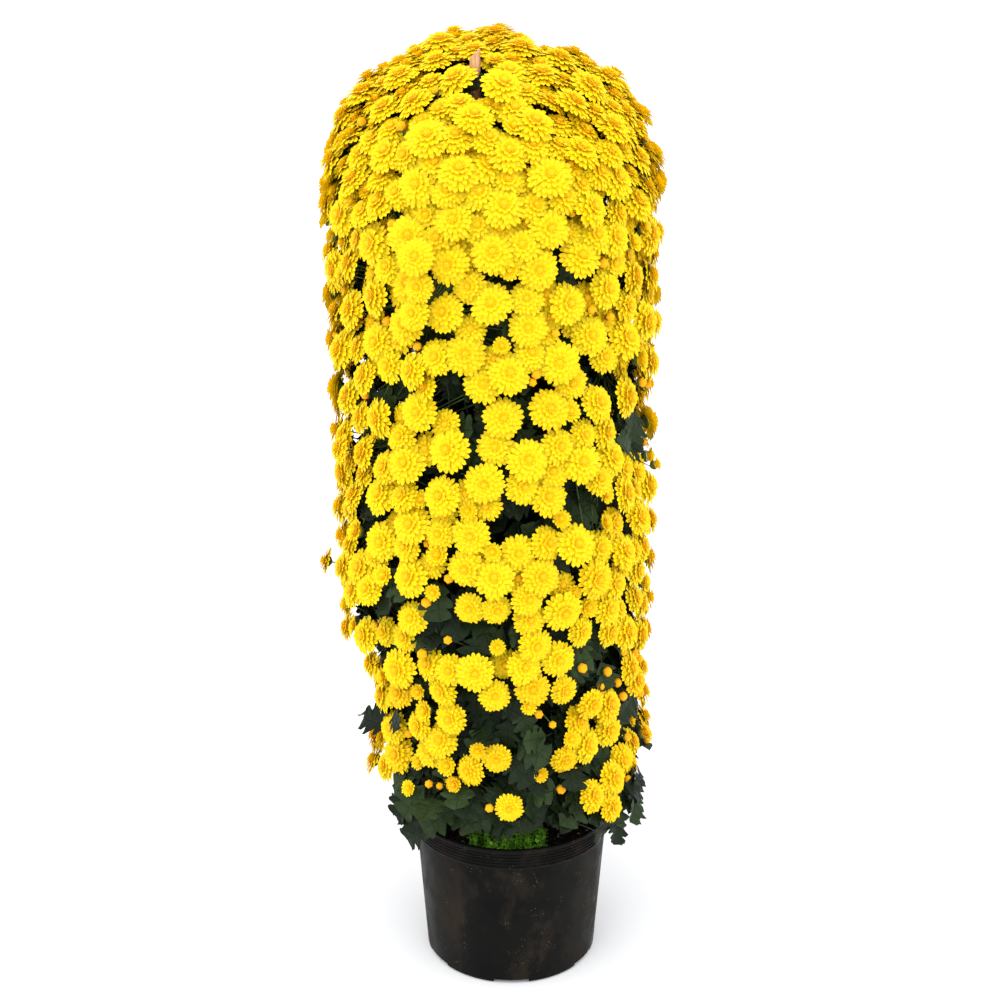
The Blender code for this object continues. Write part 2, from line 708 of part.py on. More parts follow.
def shoot_path(seat, axis):
    """Bezier curve from the stem side to the back of the hub, bowed sideways where the cane is in its way."""
    side, height = shoot_foot(seat)
    start = stem_face_point(side, height, 0)
    end = seat - axis * GAP
    pull = 0.38 * (end - start).length
    normal = Vector((*_turned(side), 0.35)).normalized()
    sideways = (end - start).cross(UP).normalized()
    curves = [
        (start, start + normal * pull + sideways * bow, end - axis * pull + sideways * bow / 2, end)
        for bow in CANE_BOWS
    ]
    clear = [bends for bends in curves if room_to_cane(bends) > CANE_RADIUS + CANE_CLEARANCE]
    bends = clear[0] if clear else max(curves, key=room_to_cane)
    return side, height, lambda share: on_curve(bends, share), (end - start).length


def start_shoot(side, height, way):
    """The three-sided foot of a shoot against the main stem. It returns the body and the face that grows."""
    foot = [
        stem_face_point(side, height + SHOOT_RADII[0] * math.sin(t), SHOOT_RADII[0] * math.cos(t))
        for t in (math.pi / 2 + 2 * math.pi * i / 3 for i in range(3))
    ]
    if (foot[1] - foot[0]).cross(foot[2] - foot[0]).dot(way) < 0:
        foot.reverse()
    bm = bmesh.new()
    verts = [bm.verts.new(point) for point in foot]
    bm.faces.new(verts[::-1])
    return bm, verts


def stem_ring(centre, way, share, last):
    """Three points round the stem, turned as the last three are."""
    u, v = across(way)
    middle = sum((vert.co for vert in last), Vector()) / 3
    first = last[0].co - middle
    phase = math.atan2(first.dot(v), first.dot(u))
    radius = SHOOT_RADII[0] + share * (SHOOT_RADII[1] - SHOOT_RADII[0])
    return circle(centre, way, radius, 3, phase)


def lengthen(bm, last, ring):
    """Carries the open end on to the next ring. It returns the ring's vertices and the three new quads."""
    tip = [bm.verts.new(point) for point in ring]
    quads = [bm.faces.new((last[i], last[(i + 1) % 3], tip[(i + 1) % 3], tip[i])) for i in range(3)]
    return tip, quads


def add_whorl(bm, last, centre, way, share, facing, radius, outline, rises):
    """A whorl of leaves joined round the stem: out to their lobed edge below, and back to the stem above."""
    high = [bm.verts.new(p) for p in stem_ring(centre + way * WHORL_THICKNESS, way, share, last)]
    u, v = across(facing)
    first = last[0].co - centre
    phase = math.atan2(first.dot(v), first.dot(u))
    sector = 2 * math.pi / WHORL_LEAVES
    rim = []
    for leaf in range(WHORL_LEAVES):
        for (offset, reach), rise in zip(outline, rises[leaf]):
            turn = phase + sector * (leaf + 0.5 + offset)
            arm = u * math.cos(turn) + v * math.sin(turn)
            point = centre + way * WHORL_THICKNESS / 2 + radius * (arm * reach + facing * rise * reach)
            rim.append(bm.verts.new(point))
    count = len(rim)
    for i in range(count):
        after = (i + 1) % count
        here, there = round(3 * i / count) % 3, round(3 * after / count) % 3
        bm.faces.new((last[here], rim[after], rim[i]))
        bm.faces.new((rim[i], rim[after], high[here]))
        if here != there:
            bm.faces.new((last[here], last[there], rim[after]))
            bm.faces.new((high[there], high[here], rim[after]))
    return high


def whorls_of(seat):
    return (LOW_WHORL, *WHORLS) if seat.z < LOW_SHOOTS else WHORLS


def make_shoot(seat, axis, sizes, rises):
    """A shoot with its whorls at the given sizes. It returns the body and its three quads for leaves."""
    side, height, at, length = shoot_path(seat, axis)
    bm, last = start_shoot(side, height, at(0.1) - at(0))

    def way(share):
        return (at(share + 0.02) - at(share - 0.02)).normalized()

    last, _ = lengthen(bm, last, stem_ring(at(SHOOT_BEND), way(SHOOT_BEND), SHOOT_BEND, last))
    for (share, radius, outline), size, rise in zip(whorls_of(seat), sizes, rises):
        tilt = stepped(WHORL_TILT, seat.z)
        facing = (way(share) + UP * tilt).normalized()
        last, _ = lengthen(bm, last, stem_ring(at(share), way(share), share, last))
        last = add_whorl(bm, last, at(share), way(share), share, facing, radius * size, outline, rise)
    half = SHOOT_NODE_LENGTH / length / 2
    for share in (LEAF_JOINT - half, LEAF_JOINT + half):
        last, quads = lengthen(bm, last, stem_ring(at(share), way(share), share, last))
    last, _ = lengthen(bm, last, stem_ring(at(1.0), axis, 1.0, last))
    bm.faces.new(last)
    bmesh.ops.recalc_face_normals(bm, faces=bm.faces)
    bmesh.ops.triangulate(bm, faces=[face for face in bm.faces if len(face.verts) > 3 and face not in quads])
    return bm, quads


def crosses_itself(bm):
    faces = [set(face.verts) for face in bm.faces]
    tree = tree_of(bm)
    return any(not faces[a] & faces[b] for a, b in tree.overlap(tree))


def fitted_shoot(seat, axis, obstacles, draw):
    """The shoot with the largest whorls that clear what stands there already, the outer one fitted first."""
    rises = [
        [[draw.uniform(-WHORL_RISE, WHORL_RISE) for _ in outline] for _ in range(WHORL_LEAVES)]
        for _, _, outline in whorls_of(seat)
    ]
    sizes = [WHORL_SIZES[-1]] * len(rises)
    for whorl in reversed(range(len(rises))):
        for size in WHORL_SIZES:
            sizes[whorl] = size
            bm, quads = make_shoot(seat, axis, sizes, rises)
            tree = tree_of(bm)
            if not crosses_itself(bm) and not any(tree.overlap(other) for other in obstacles):
                break
            bm.free()
    if not bm.is_valid:
        bm, quads = make_shoot(seat, axis, sizes, rises)
    return bm, quads


def leaf_points(base, way, normal, length):
    """Rim points from the left of the leaf's base, round its tip to the right, and its two middles."""
    side = normal.cross(way)
    rim = []
    lobes = [(x, y, 1) for x, y in LEAF_OUTLINE] + [(x, y, -1) for x, y in reversed(LEAF_OUTLINE[:-1])]
    for x, y, hand in lobes:
        droop = -0.16 * x * x + 0.10 * y
        rim.append(base + length * (way * x + side * y * hand + normal * droop))
    middle = base + length * (way * LEAF_MIDDLE - normal * 0.03)
    half = normal * LEAF_THICKNESS / 2
    return rim, middle + half, middle - half


def leaf_corners(quad, way, normal):
    """The quad's corners as (low left, low right, high right, high left), seen along the leaf."""
    side = normal.cross(way)
    middle = quad.calc_center_median()
    corners = list(quad.verts)[::-1]
    wanted = (side - normal, -side - normal, -side + normal, side + normal)

    def fit(shift):
        return sum((corners[(i + shift) % 4].co - middle).dot(w) for i, w in enumerate(wanted))

    best = max(range(4), key=fit)
    return [corners[(i + best) % 4] for i in range(4)]


def leaf_triangles(corners, rim, top, bottom):
    """The leaf's triangles, by index into corners + rim + [top, bottom]."""
    low_left, low_right, high_right, high_left = range(4)
    ring = list(range(4, 4 + len(rim)))
    over, under = 4 + len(rim), 5 + len(rim)
    upper = [high_left] + ring + [high_right]
    lower = [low_left] + ring + [low_right]
    faces = [(b, a, over) for a, b in zip(upper, upper[1:])] + [(high_left, high_right, over)]
    faces += [(a, b, under) for a, b in zip(lower, lower[1:])] + [(low_right, low_left, under)]
    faces += [(low_left, high_left, ring[0]), (high_right, low_right, ring[-1])]
    return faces


def add_leaf(bm, quad, way, normal, length):
    middle = quad.calc_center_median()
    corners = leaf_corners(quad, way, normal)
    rim, top, bottom = leaf_points(middle, way, normal, length)
    bm.faces.remove(quad)
    verts = corners + [bm.verts.new(p) for p in (*rim, top, bottom)]
    for triangle in leaf_triangles(corners, rim, top, bottom):
        bm.faces.new([verts[i] for i in triangle])


def tree_of(bm):
    return BVHTree.FromBMesh(bm)


def leaf_is_clear(bm, quad, way, normal, length, obstacles):
    """Whether a leaf on this quad would cross neither the obstacles nor the rest of its own shoot."""
    corners = leaf_corners(quad, way, normal)
    rim, top, bottom = leaf_points(quad.calc_center_median(), way, normal, length)
    triangles = leaf_triangles(corners, rim, top, bottom)
    own = tree_of(bm)
    ahead = [corner.co + way * LEAF_TEST_LEAD for corner in corners]
    if BVHTree.FromPolygons([*ahead, *rim, top, bottom], triangles).overlap(own):
        return False
    blade = BVHTree.FromPolygons([*(corner.co for corner in corners), *rim, top, bottom], triangles)
    faces = list(bm.faces)
    for mine, other in blade.overlap(own):
        joined = {corners[k] for k in triangles[mine] if k < 4} & set(faces[other].verts)
        if faces[other] is not quad and not joined:
            return False
    return not any(blade.overlap(tree) for tree in obstacles)


def leaf_tries(quad, axis, draw):
    """Directions and sizes to try for a leaf on this quad, the likeliest first."""
    away = quad.normal - axis * quad.normal.dot(axis)
    away = away.normalized() if away.length > 0.1 else across(axis)[0]
    lead = draw.uniform(-0.3, 0.3)
    for shrink in LEAF_SHRINK:
        for swing in LEAF_SWINGS:
            aside = Matrix.Rotation(lead + swing, 3, axis) @ away
            for pitch in LEAF_PITCHES:
                turn = math.radians(pitch)
                way = aside * math.cos(turn) + axis * math.sin(turn)
                normal = axis * math.cos(turn) - aside * math.sin(turn)
                if way.dot(quad.normal) > 0.2:
                    yield way, normal, shrink


def leaf_out(bm, quads, axis, obstacles, draw):
    """Gives the shoot its single leaves, each bent until it clears everything that stands there already."""
    for quad in quads:
        length = draw.uniform(*LEAF_LENGTH)
        for way, normal, shrink in leaf_tries(quad, axis, draw):
            if leaf_is_clear(bm, quad, way, normal, length * shrink, obstacles):
                add_leaf(bm, quad, way, normal, length * shrink)
                break


def crossing_heads(sprays, standing):
    """Pairs of (spray, head) whose faces cross, in one spray or in two. (-1, 0) is a piece that stands already."""
    trees, owners, corners = [], [], []
    for bm in sprays:
        layer = bm.faces.layers.int["head"]
        trees.append(tree_of(bm))
        owners.append([face[layer] for face in bm.faces])
        corners.append([{vert.index for vert in face.verts} for face in bm.faces])
    found = set()
    for i, tree in enumerate(trees):
        for piece in standing:
            found |= {((i, owners[i][a]), (-1, 0)) for a, _ in tree.overlap(piece)}
        for j in range(i + 1):
            for a, b in tree.overlap(trees[j]):
                if i != j or not corners[i][a] & corners[i][b]:
                    found.add(((i, owners[i][a]), (j, owners[j][b])))
    return found


def settle(seats, groups, standing):
    """Draws in and parts the heads that cross, until none do. Those that still cross are left out."""
    rounds = 0
    while True:
        sprays = [make_spray(seat, heads) for seat, heads in zip(seats, groups)]
        found = sorted(crossing_heads(sprays, standing))
        if not found:
            return sprays
        for bm in sprays:
            bm.free()
        rounds += 1
        if rounds > SETTLE_ROUNDS:
            drop_smaller(groups, found[0])
        else:
            part_heads(groups, found)


def part_heads(groups, found):
    """Shrinks each crossing head a little and moves it away from the other one."""
    moves = {}
    for (i, a), (j, b) in found:
        apart = groups[i][a - 1][2] - groups[j][b - 1][2] if a and b else Vector()
        if a and j < 0:
            apart = groups[i][a - 1][2] - cane_point(groups[i][a - 1][2].z)
        for spray, head, way in ((i, a, apart), (j, b, -apart)):
            if head:
                moves[spray, head] = moves.get((spray, head), Vector()) + way.normalized()
    for (i, a), move in moves.items():
        kind, radius, centre, axis = groups[i][a - 1]
        step = (move - axis * move.dot(axis) * 0.7) if move.length > 1e-6 else axis * 0.3
        step *= SETTLE_STEP / max(move.length, 1)
        groups[i][a - 1] = (kind, radius * SETTLE_SHRINK, centre + step, axis)


def drop_smaller(groups, pair):
    heads = [(groups[i][a - 1][1], i, a) for i, a in pair if a]
    _, i, a = min(heads)
    del groups[i][a - 1]


def make_plant():
    seats = shoot_seats()
    groups = shared_out(bloom_places(), seats)
    graph = bpy.context.evaluated_depsgraph_get()
    standing = [BVHTree.FromObject(obj, graph) for obj in bpy.data.objects]
    sprays = settle(seats, groups, standing)
    standing += [tree_of(bm) for bm in sprays]
    draw = random.Random(WHORL_SEED)
    shoots = []
    for _, axis, centre in seats:
        shoots.append(fitted_shoot(centre, axis, standing + [tree_of(bm) for bm, _ in shoots], draw))
    draw = random.Random(LEAF_SEED)
    for i, ((bm, quads), (_, axis, _)) in enumerate(zip(shoots, seats)):
        others = [tree_of(other) for j, (other, _) in enumerate(shoots) if j != i]
        leaf_out(bm, quads, axis, standing + others, draw)
    for i, ((bm, _), spray) in enumerate(zip(shoots, sprays), 1):
        add_object(f"shoot_{i:02d}", bm, "leaf_green")
        add_object(f"spray_{i:02d}", spray, "petal_yellow")


clear_scene()
make_pot()
make_soil()
make_cane()
make_main_stem()
make_weeds()
bpy.context.view_layer.update()
make_plant()
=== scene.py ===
import math
import random

import bmesh
import bpy
import numpy as np
from mathutils import Matrix, Vector
from mathutils.kdtree import KDTree


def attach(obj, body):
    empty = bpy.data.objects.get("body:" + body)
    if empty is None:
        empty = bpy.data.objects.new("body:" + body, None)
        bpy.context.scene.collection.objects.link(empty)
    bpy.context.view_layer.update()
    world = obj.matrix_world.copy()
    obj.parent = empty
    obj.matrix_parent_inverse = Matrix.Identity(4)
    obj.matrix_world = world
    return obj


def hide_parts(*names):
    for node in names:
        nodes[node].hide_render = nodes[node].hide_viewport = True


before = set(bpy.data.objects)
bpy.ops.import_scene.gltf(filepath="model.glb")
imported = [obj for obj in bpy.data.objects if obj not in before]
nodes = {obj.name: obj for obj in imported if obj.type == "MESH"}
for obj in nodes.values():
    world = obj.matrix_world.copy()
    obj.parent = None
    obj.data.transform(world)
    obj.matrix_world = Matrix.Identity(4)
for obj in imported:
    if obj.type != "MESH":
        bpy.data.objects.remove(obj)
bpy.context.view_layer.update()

# Nursery pot
# A round pot of black polypropylene, injection moulded in one piece, with a ribbed band at the rim,
# a rounded corner at the bottom and six drain notches. Dry soil and handling have left brown smears.
POT_STEPS = 144
POT_HEIGHT = 0.220
POT_RIM = 0.140
POT_BASE = 0.122
POT_WALL = 0.0042
POT_FLOOR = 0.0035
WALL_STEPS = 8
CORNER = 0.005
CORNER_STEPS = 5
FOOT_RING = (0.016, 0.012)
FOOT_HOLLOW = 0.0015
BAND_FOOT = 0.188
BAND_INSET = 0.0044
BAND_STEP = (0.0022, 0.0015)
BAND_OUT = 0.0026
BAND_EDGE = 0.003
BAND_RIBS = 5
RIB_DEPTH = 0.0014
RIB_SHAPE = ((0.1, 0), (0.35, 1), (0.65, 1), (0.9, 0))
LIP_HEIGHT = 0.006
LIP = ((0.0006, 0.006), (0, 0.0045), (0, 0.0015), (0.0006, 0.0004), (0.0018, 0), (0.005, 0), (0.006, 0.0008))
LIP_OVERHANG = 0.0030
NOTCHES = 6
NOTCH = (0.050, 0.034, 0.012)
NOTCH_OUT = 0.004
SHARP = math.radians(40)
PLASTIC_TONES = ((0.3, (0.0022, 0.0022, 0.0021)), (0.7, (0.0052, 0.0050, 0.0045)))
SMEAR_BROWN = (0.044, 0.031, 0.020, 1)
SPECK_GREY = (0.25, 0.22, 0.18, 1)
DULL = (0.85, 0.85, 0.85, 1)
BLACK, WHITE = (0, 0, 0), (1, 1, 1)


def wire(tree, kind, sockets=(), **settings):
    """Adds a shader node. A socket takes either a value or another node's output."""
    node = tree.nodes.new(kind)
    for name, value in settings.items():
        setattr(node, name, value)
    for socket, source in dict(sockets).items():
        if isinstance(source, bpy.types.NodeSocket):
            tree.links.new(source, node.inputs[socket])
        else:
            node.inputs[socket].default_value = source
    return node


def stops(tree, factor, *colours):
    """A colour ramp through the given positions and colours, driven by factor."""
    node = wire(tree, "ShaderNodeValToRGB", {"Fac": factor})
    ramp = node.color_ramp
    while len(ramp.elements) < len(colours):
        ramp.elements.new(0.5)
    for element, (position, colour) in zip(ramp.elements, colours):
        element.position = position
        element.color = (*colour, 1)
    return node.outputs["Color"]


def mixed(tree, factor, first, second, blend="MIX"):
    """Two colours mixed by factor."""
    sockets = {0: factor, 6: first, 7: second}
    return wire(tree, "ShaderNodeMix", sockets, data_type="RGBA", blend_type=blend).outputs[2]


def reckoned(tree, operation, first, second=0.0):
    """One step of arithmetic on a number that changes over the surface."""
    return wire(tree, "ShaderNodeMath", {0: first, 1: second}, operation=operation).outputs["Value"]


def noise_of(tree, vector, scale, detail, rough=0.55):
    sockets = {"Vector": vector, "Scale": scale, "Detail": detail, "Roughness": rough}
    return wire(tree, "ShaderNodeTexNoise", sockets).outputs["Fac"]


def stretched(tree, vector, scale):
    """The same coordinates, squeezed or stretched along each axis."""
    return wire(tree, "ShaderNodeMapping", {"Vector": vector, "Scale": scale}).outputs["Vector"]


def new_material(name, **sockets):
    """A material with its Principled BSDF's constant sockets set."""
    material = bpy.data.materials.new(name)
    material.use_nodes = True
    shader = material.node_tree.nodes["Principled BSDF"]
    for socket, value in sockets.items():
        shader.inputs[socket.replace("_", " ")].default_value = value
    return material, material.node_tree, shader


def object_place(tree):
    return wire(tree, "ShaderNodeTexCoord").outputs["Object"]


def bumped(tree, shader, height, strength, distance):
    bump = wire(tree, "ShaderNodeBump", {"Height": height, "Strength": strength, "Distance": distance})
    tree.links.new(bump.outputs["Normal"], shader.inputs["Normal"])


def mesh_of(name, bm):
    """The bmesh as a mesh, once it is finished."""
    mesh = bpy.data.meshes.new(name)
    bm.to_mesh(mesh)
    bm.free()
    return mesh


def in_scene(name, data):
    """Puts a mesh, a lamp or a camera into the scene."""
    thing = bpy.data.objects.new(name, data)
    bpy.context.scene.collection.objects.link(thing)
    return thing


def finished(name, bm, material, smooth, stands_for):
    """Makes the piece from its bmesh and rides it on the plant's one body."""
    mesh = mesh_of(name, bm)
    mesh.polygons.foreach_set("use_smooth", [smooth] * len(mesh.polygons))
    mesh.materials.append(material)
    piece = in_scene(name, mesh)
    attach(piece, "root")
    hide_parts(*stands_for)
    return piece


def spun(profile, steps):
    """A closed body turned from a half section of (radius, height) points, from the axis back to it."""
    bm = bmesh.new()
    points = [bm.verts.new((radius, 0, height)) for radius, height in profile]
    line = points + [bm.edges.new(pair) for pair in zip(points, points[1:])]
    bmesh.ops.spin(
        bm, geom=line, axis=(0, 0, 1), cent=(0, 0, 0), steps=steps, angle=2 * math.pi, use_merge=True
    )
    bmesh.ops.remove_doubles(bm, verts=bm.verts, dist=1e-6)
    bmesh.ops.recalc_face_normals(bm, faces=bm.faces)
    return bm


def pot_section():
    """Half section of the pot, up the outside and down the inside."""
    wall_top = POT_RIM - BAND_INSET
    corner_in = POT_BASE - CORNER
    section = [(0, FOOT_HOLLOW), (POT_BASE - FOOT_RING[0], FOOT_HOLLOW), (POT_BASE - FOOT_RING[1], 0)]
    section.append((corner_in, 0))
    for step in range(1, CORNER_STEPS + 1):
        turn = math.pi / 2 * step / CORNER_STEPS
        section.append((corner_in + CORNER * math.sin(turn), CORNER * (1 - math.cos(turn))))
    for step in range(1, WALL_STEPS + 1):
        share = step / WALL_STEPS
        section.append((POT_BASE + (wall_top - POT_BASE) * share, CORNER + (BAND_FOOT - CORNER) * share))
    section.append((wall_top + BAND_STEP[0], BAND_FOOT + BAND_STEP[1]))
    ribbed = POT_HEIGHT - LIP_HEIGHT - BAND_FOOT - BAND_EDGE
    for rib in range(BAND_RIBS):
        low = BAND_FOOT + BAND_EDGE + ribbed * rib / BAND_RIBS
        for share, depth in RIB_SHAPE:
            section.append((wall_top + BAND_OUT + RIB_DEPTH * depth, low + ribbed / BAND_RIBS * share))
    section += [(POT_RIM - inset, POT_HEIGHT - drop) for inset, drop in LIP]
    section.append((POT_RIM - LIP_OVERHANG - POT_WALL, POT_HEIGHT - LIP_HEIGHT))
    section += [(POT_BASE - POT_WALL, POT_FLOOR), (0, POT_FLOOR)]
    return section


def dust_group():
    """Dry soil left on moulded plastic: broad smears, long thin scuffs and a few pale specks."""
    group = bpy.data.node_groups.new("soil dust", "ShaderNodeTree")
    group.interface.new_socket("Vector", in_out="INPUT", socket_type="NodeSocketVector")
    for name in ("Smears", "Specks"):
        group.interface.new_socket(name, in_out="OUTPUT", socket_type="NodeSocketFloat")
    vector = wire(group, "NodeGroupInput").outputs["Vector"]
    out = wire(group, "NodeGroupOutput")
    clouds = noise_of(group, stretched(group, vector, (16, 16, 10)), 1.0, 9, 0.72)
    scuffs = noise_of(group, stretched(group, vector, (150, 150, 7)), 1.0, 3)
    streaks = stops(group, scuffs, (0.55, BLACK), (0.75, WHITE))
    smears = stops(group, clouds, (0.50, BLACK), (0.72, WHITE))
    worn = mixed(group, 0.5, smears, mixed(group, 1.0, smears, streaks, "MULTIPLY"), "ADD")
    dots = wire(group, "ShaderNodeTexVoronoi", {"Vector": vector, "Scale": 320.0}).outputs["Distance"]
    rare = stops(group, noise_of(group, vector, 60.0, 1), (0.60, BLACK), (0.66, WHITE))
    specks = mixed(group, 1.0, stops(group, dots, (0.10, WHITE), (0.2, BLACK)), rare, "MULTIPLY")
    group.links.new(worn, out.inputs["Smears"])
    group.links.new(specks, out.inputs["Specks"])
    return group


SOIL_DUST = dust_group()


def pot_plastic():
    """Black plastic that has gone a little uneven in tone, with dry soil on it."""
    material, tree, shader = new_material("black pot plastic", Specular_IOR_Level=0.06)
    place = object_place(tree)
    dust = wire(tree, "ShaderNodeGroup", {}, node_tree=SOIL_DUST)
    tree.links.new(place, dust.inputs["Vector"])
    shade = stops(tree, noise_of(tree, place, 18.0, 4), *PLASTIC_TONES)
    dusty = mixed(tree, reckoned(tree, "MULTIPLY", dust.outputs["Smears"], 0.50), shade, SMEAR_BROWN)
    flecked = mixed(tree, reckoned(tree, "MULTIPLY", dust.outputs["Specks"], 0.6), dusty, SPECK_GREY)
    tree.links.new(flecked, shader.inputs["Base Color"])
    rough = stops(tree, noise_of(tree, place, 30.0, 4), (0.3, (0.34,) * 3), (0.7, (0.50,) * 3))
    tree.links.new(mixed(tree, dust.outputs["Smears"], rough, DULL), shader.inputs["Roughness"])
    uneven = reckoned(tree, "ADD", noise_of(tree, place, 900.0, 2), noise_of(tree, place, 45.0, 3))
    bumped(tree, shader, uneven, 0.25, 0.0006)
    return material


def with_notches(pot):
    """Cuts the drain notches out of the bottom edge, evenly round the pot."""
    cutter = bmesh.new()
    for notch in range(NOTCHES):
        cube = bmesh.ops.create_cube(cutter, size=1)["verts"]
        bmesh.ops.scale(cutter, vec=NOTCH, verts=cube)
        turn = Matrix.Rotation(2 * math.pi * notch / NOTCHES, 4, "Z")
        out = Matrix.Translation((0, -POT_BASE - NOTCH_OUT, 0))
        bmesh.ops.transform(cutter, matrix=turn @ out, verts=cube)
    tool = in_scene("notches", mesh_of("notches", cutter))
    modifier = pot.modifiers.new("notches", "BOOLEAN")
    modifier.object = tool
    modifier.solver = "EXACT"
    bpy.context.view_layer.update()
    cut = bpy.data.meshes.new_from_object(pot.evaluated_get(bpy.context.evaluated_depsgraph_get()))
    pot.modifiers.clear()
    pot.data = cut
    bpy.data.objects.remove(tool)


pot = finished("nursery_pot", spun(pot_section(), POT_STEPS), pot_plastic(), True, ["pot"])
with_notches(pot)
pot.data.set_sharp_from_angle(angle=SHARP)

# Potting soil
# A peat and bark mix that fills the pot to 25 mm below its rim. It is lumpy on top, with chips of
# bark and white grains of perlite, and the stem and the cane stand in it.
SOIL_TOP = 0.195
SOIL_FOOT = 0.0038
SOIL_SPACE = 0.0006
SOIL_STEPS = 96
SOIL_RINGS = 36
SOIL_LUMP = 0.0012
SOIL_EDGE = 0.008
CHIPS = 240
CHIP_SIZES = (0.0030, 0.0075)
GRAINS = 90
GRAIN_SIZES = (0.0012, 0.0022)
GRAIN_SHAPE = (1, 0.9, 0.8)
SOIL_TONES = ((0.0, (0.010, 0.006, 0.004)), (0.7, (0.036, 0.022, 0.013)), (0.93, (0.10, 0.07, 0.045)))
PERLITE = (0.55, 0.52, 0.47, 1)


def soil_radius(height):
    share = height / POT_HEIGHT
    return POT_BASE + share * (POT_RIM - LIP_OVERHANG - POT_BASE) - POT_WALL - SOIL_SPACE


def strew(bm, draw, reach):
    """Scatters flat chips of bark, and then small grains of perlite, over the soil."""
    for number in range(CHIPS + GRAINS):
        is_chip = number < CHIPS
        turn, out = draw.uniform(0, 2 * math.pi), reach * math.sqrt(draw.random())
        size = draw.uniform(*(CHIP_SIZES if is_chip else GRAIN_SIZES))
        bit = bmesh.ops.create_cube(bm, size=size)["verts"]
        shape = (1, draw.uniform(0.35, 0.7), draw.uniform(0.2, 0.45)) if is_chip else GRAIN_SHAPE
        bmesh.ops.scale(bm, vec=shape, verts=bit)
        spin, tilt = draw.uniform(0, math.pi), draw.uniform(-0.4, 0.4)
        turned = Matrix.Rotation(spin, 4, "Z") @ Matrix.Rotation(tilt, 4, "X")
        spot = Matrix.Translation((out * math.cos(turn), out * math.sin(turn), SOIL_TOP + SOIL_LUMP))
        bmesh.ops.transform(bm, matrix=spot @ turned, verts=bit)


def lumpy_soil(draw):
    """The filled space of the pot, lumpy on top, with chips and grains on it."""
    edge = soil_radius(SOIL_TOP)
    section = [(0, SOIL_FOOT), (soil_radius(SOIL_FOOT), SOIL_FOOT)]
    section += [(edge * (1 - ring / SOIL_RINGS), SOIL_TOP) for ring in range(SOIL_RINGS + 1)]
    bm = spun(section, SOIL_STEPS)
    for vertex in bm.verts:
        if vertex.co.z > SOIL_TOP - 0.001:
            flat = Vector((vertex.co.x, vertex.co.y))
            reach = min(1.0, (edge - flat.length) / SOIL_EDGE)
            wave = math.sin(flat.x * 210 + 1.3) * math.cos(flat.y * 180) + math.sin(flat.x * 77 - flat.y * 95)
            vertex.co.z += reach * (SOIL_LUMP * wave + draw.uniform(-SOIL_LUMP, SOIL_LUMP))
    strew(bm, draw, edge * 0.93)
    return bm


def soil_mix():
    material, tree, shader = new_material("potting mix", Roughness=0.95, Specular_IOR_Level=0.2)
    place = object_place(tree)
    crumbs = wire(tree, "ShaderNodeTexVoronoi", {"Vector": place, "Scale": 260.0}).outputs["Color"]
    tone = wire(tree, "ShaderNodeSeparateColor", {"Color": crumbs}).outputs["Red"]
    perlite = stops(tree, tone, (0.965, BLACK), (0.975, WHITE))
    coloured = mixed(tree, perlite, stops(tree, tone, *SOIL_TONES), PERLITE)
    tree.links.new(coloured, shader.inputs["Base Color"])
    bumped(tree, shader, noise_of(tree, place, 380.0, 4), 0.8, 0.0015)
    return material


finished("potting_soil", lumpy_soil(random.Random(4)), soil_mix(), False, ["soil"])

# Cane
# One straight stake of pinkish tan wood, 13 mm thick, pushed into the soil. Its top is sawn at a
# slant and shows paler end grain in the hollow of the plant's crown.
CANE_FOOT = Vector((-0.037, -0.070, 0.0955))
CANE_TOP = Vector((-0.0455, -0.115, 1.262))
CANE_RADIUS = 0.0063
CANE_SIDES = 28
CANE_LEVELS = 48
CANE_CUT = 0.006
CANE_EDGE = 0.0006
KNOT_LEVELS = 12
KNOT_SWELL = 1.10
WOOD_TONES = ((0.30, (0.44, 0.22, 0.10)), (0.55, (0.70, 0.39, 0.18)), (0.8, (0.80, 0.50, 0.27)))
WOOD_BLOTCH = ((0.35, (0.72, 0.66, 0.60)), (0.6, WHITE))
END_GRAIN = (0.86, 0.66, 0.42, 1)


def cane_point(height):
    share = (height - CANE_FOOT.z) / (CANE_TOP.z - CANE_FOOT.z)
    return CANE_FOOT.lerp(CANE_TOP, share)


def cane_swell(level):
    """The cane is a little thicker at its joints."""
    return KNOT_SWELL if level % KNOT_LEVELS == 0 and 0 < level < CANE_LEVELS else 1.0


def pulled(bm, face):
    """Extrudes a face and gives the new one at its end."""
    grown = bmesh.ops.extrude_face_region(bm, geom=[face])["geom"]
    return next(item for item in grown if isinstance(item, bmesh.types.BMFace))


def widened(bm, face, middle, times):
    """Scales a level face about a point, and not in height."""
    bmesh.ops.scale(bm, vec=(times, times, 1), space=Matrix.Translation(-middle), verts=face.verts)


def stake():
    """A round stake with slight swellings at its joints, a slanted top and a broken edge."""
    bm = bmesh.new()
    ring = bmesh.ops.create_circle(bm, cap_ends=True, radius=CANE_RADIUS, segments=CANE_SIDES)["verts"]
    bmesh.ops.translate(bm, vec=CANE_FOOT, verts=ring)
    face = bm.faces[:][0]
    for level in range(1, CANE_LEVELS + 1):
        low = CANE_FOOT.lerp(CANE_TOP, (level - 1) / CANE_LEVELS)
        high = CANE_FOOT.lerp(CANE_TOP, level / CANE_LEVELS)
        face = pulled(bm, face)
        bmesh.ops.translate(bm, vec=high - low, verts=face.verts)
        widened(bm, face, high, cane_swell(level) / cane_swell(level - 1))
    for vertex in face.verts:
        vertex.co.z += CANE_CUT * (vertex.co.x - CANE_TOP.x) / CANE_RADIUS
    bmesh.ops.recalc_face_normals(bm, faces=bm.faces)
    bmesh.ops.bevel(
        bm, geom=list(face.edges), offset=CANE_EDGE, affect="EDGES", segments=2, profile=0.5, material=-1
    )
    return bm


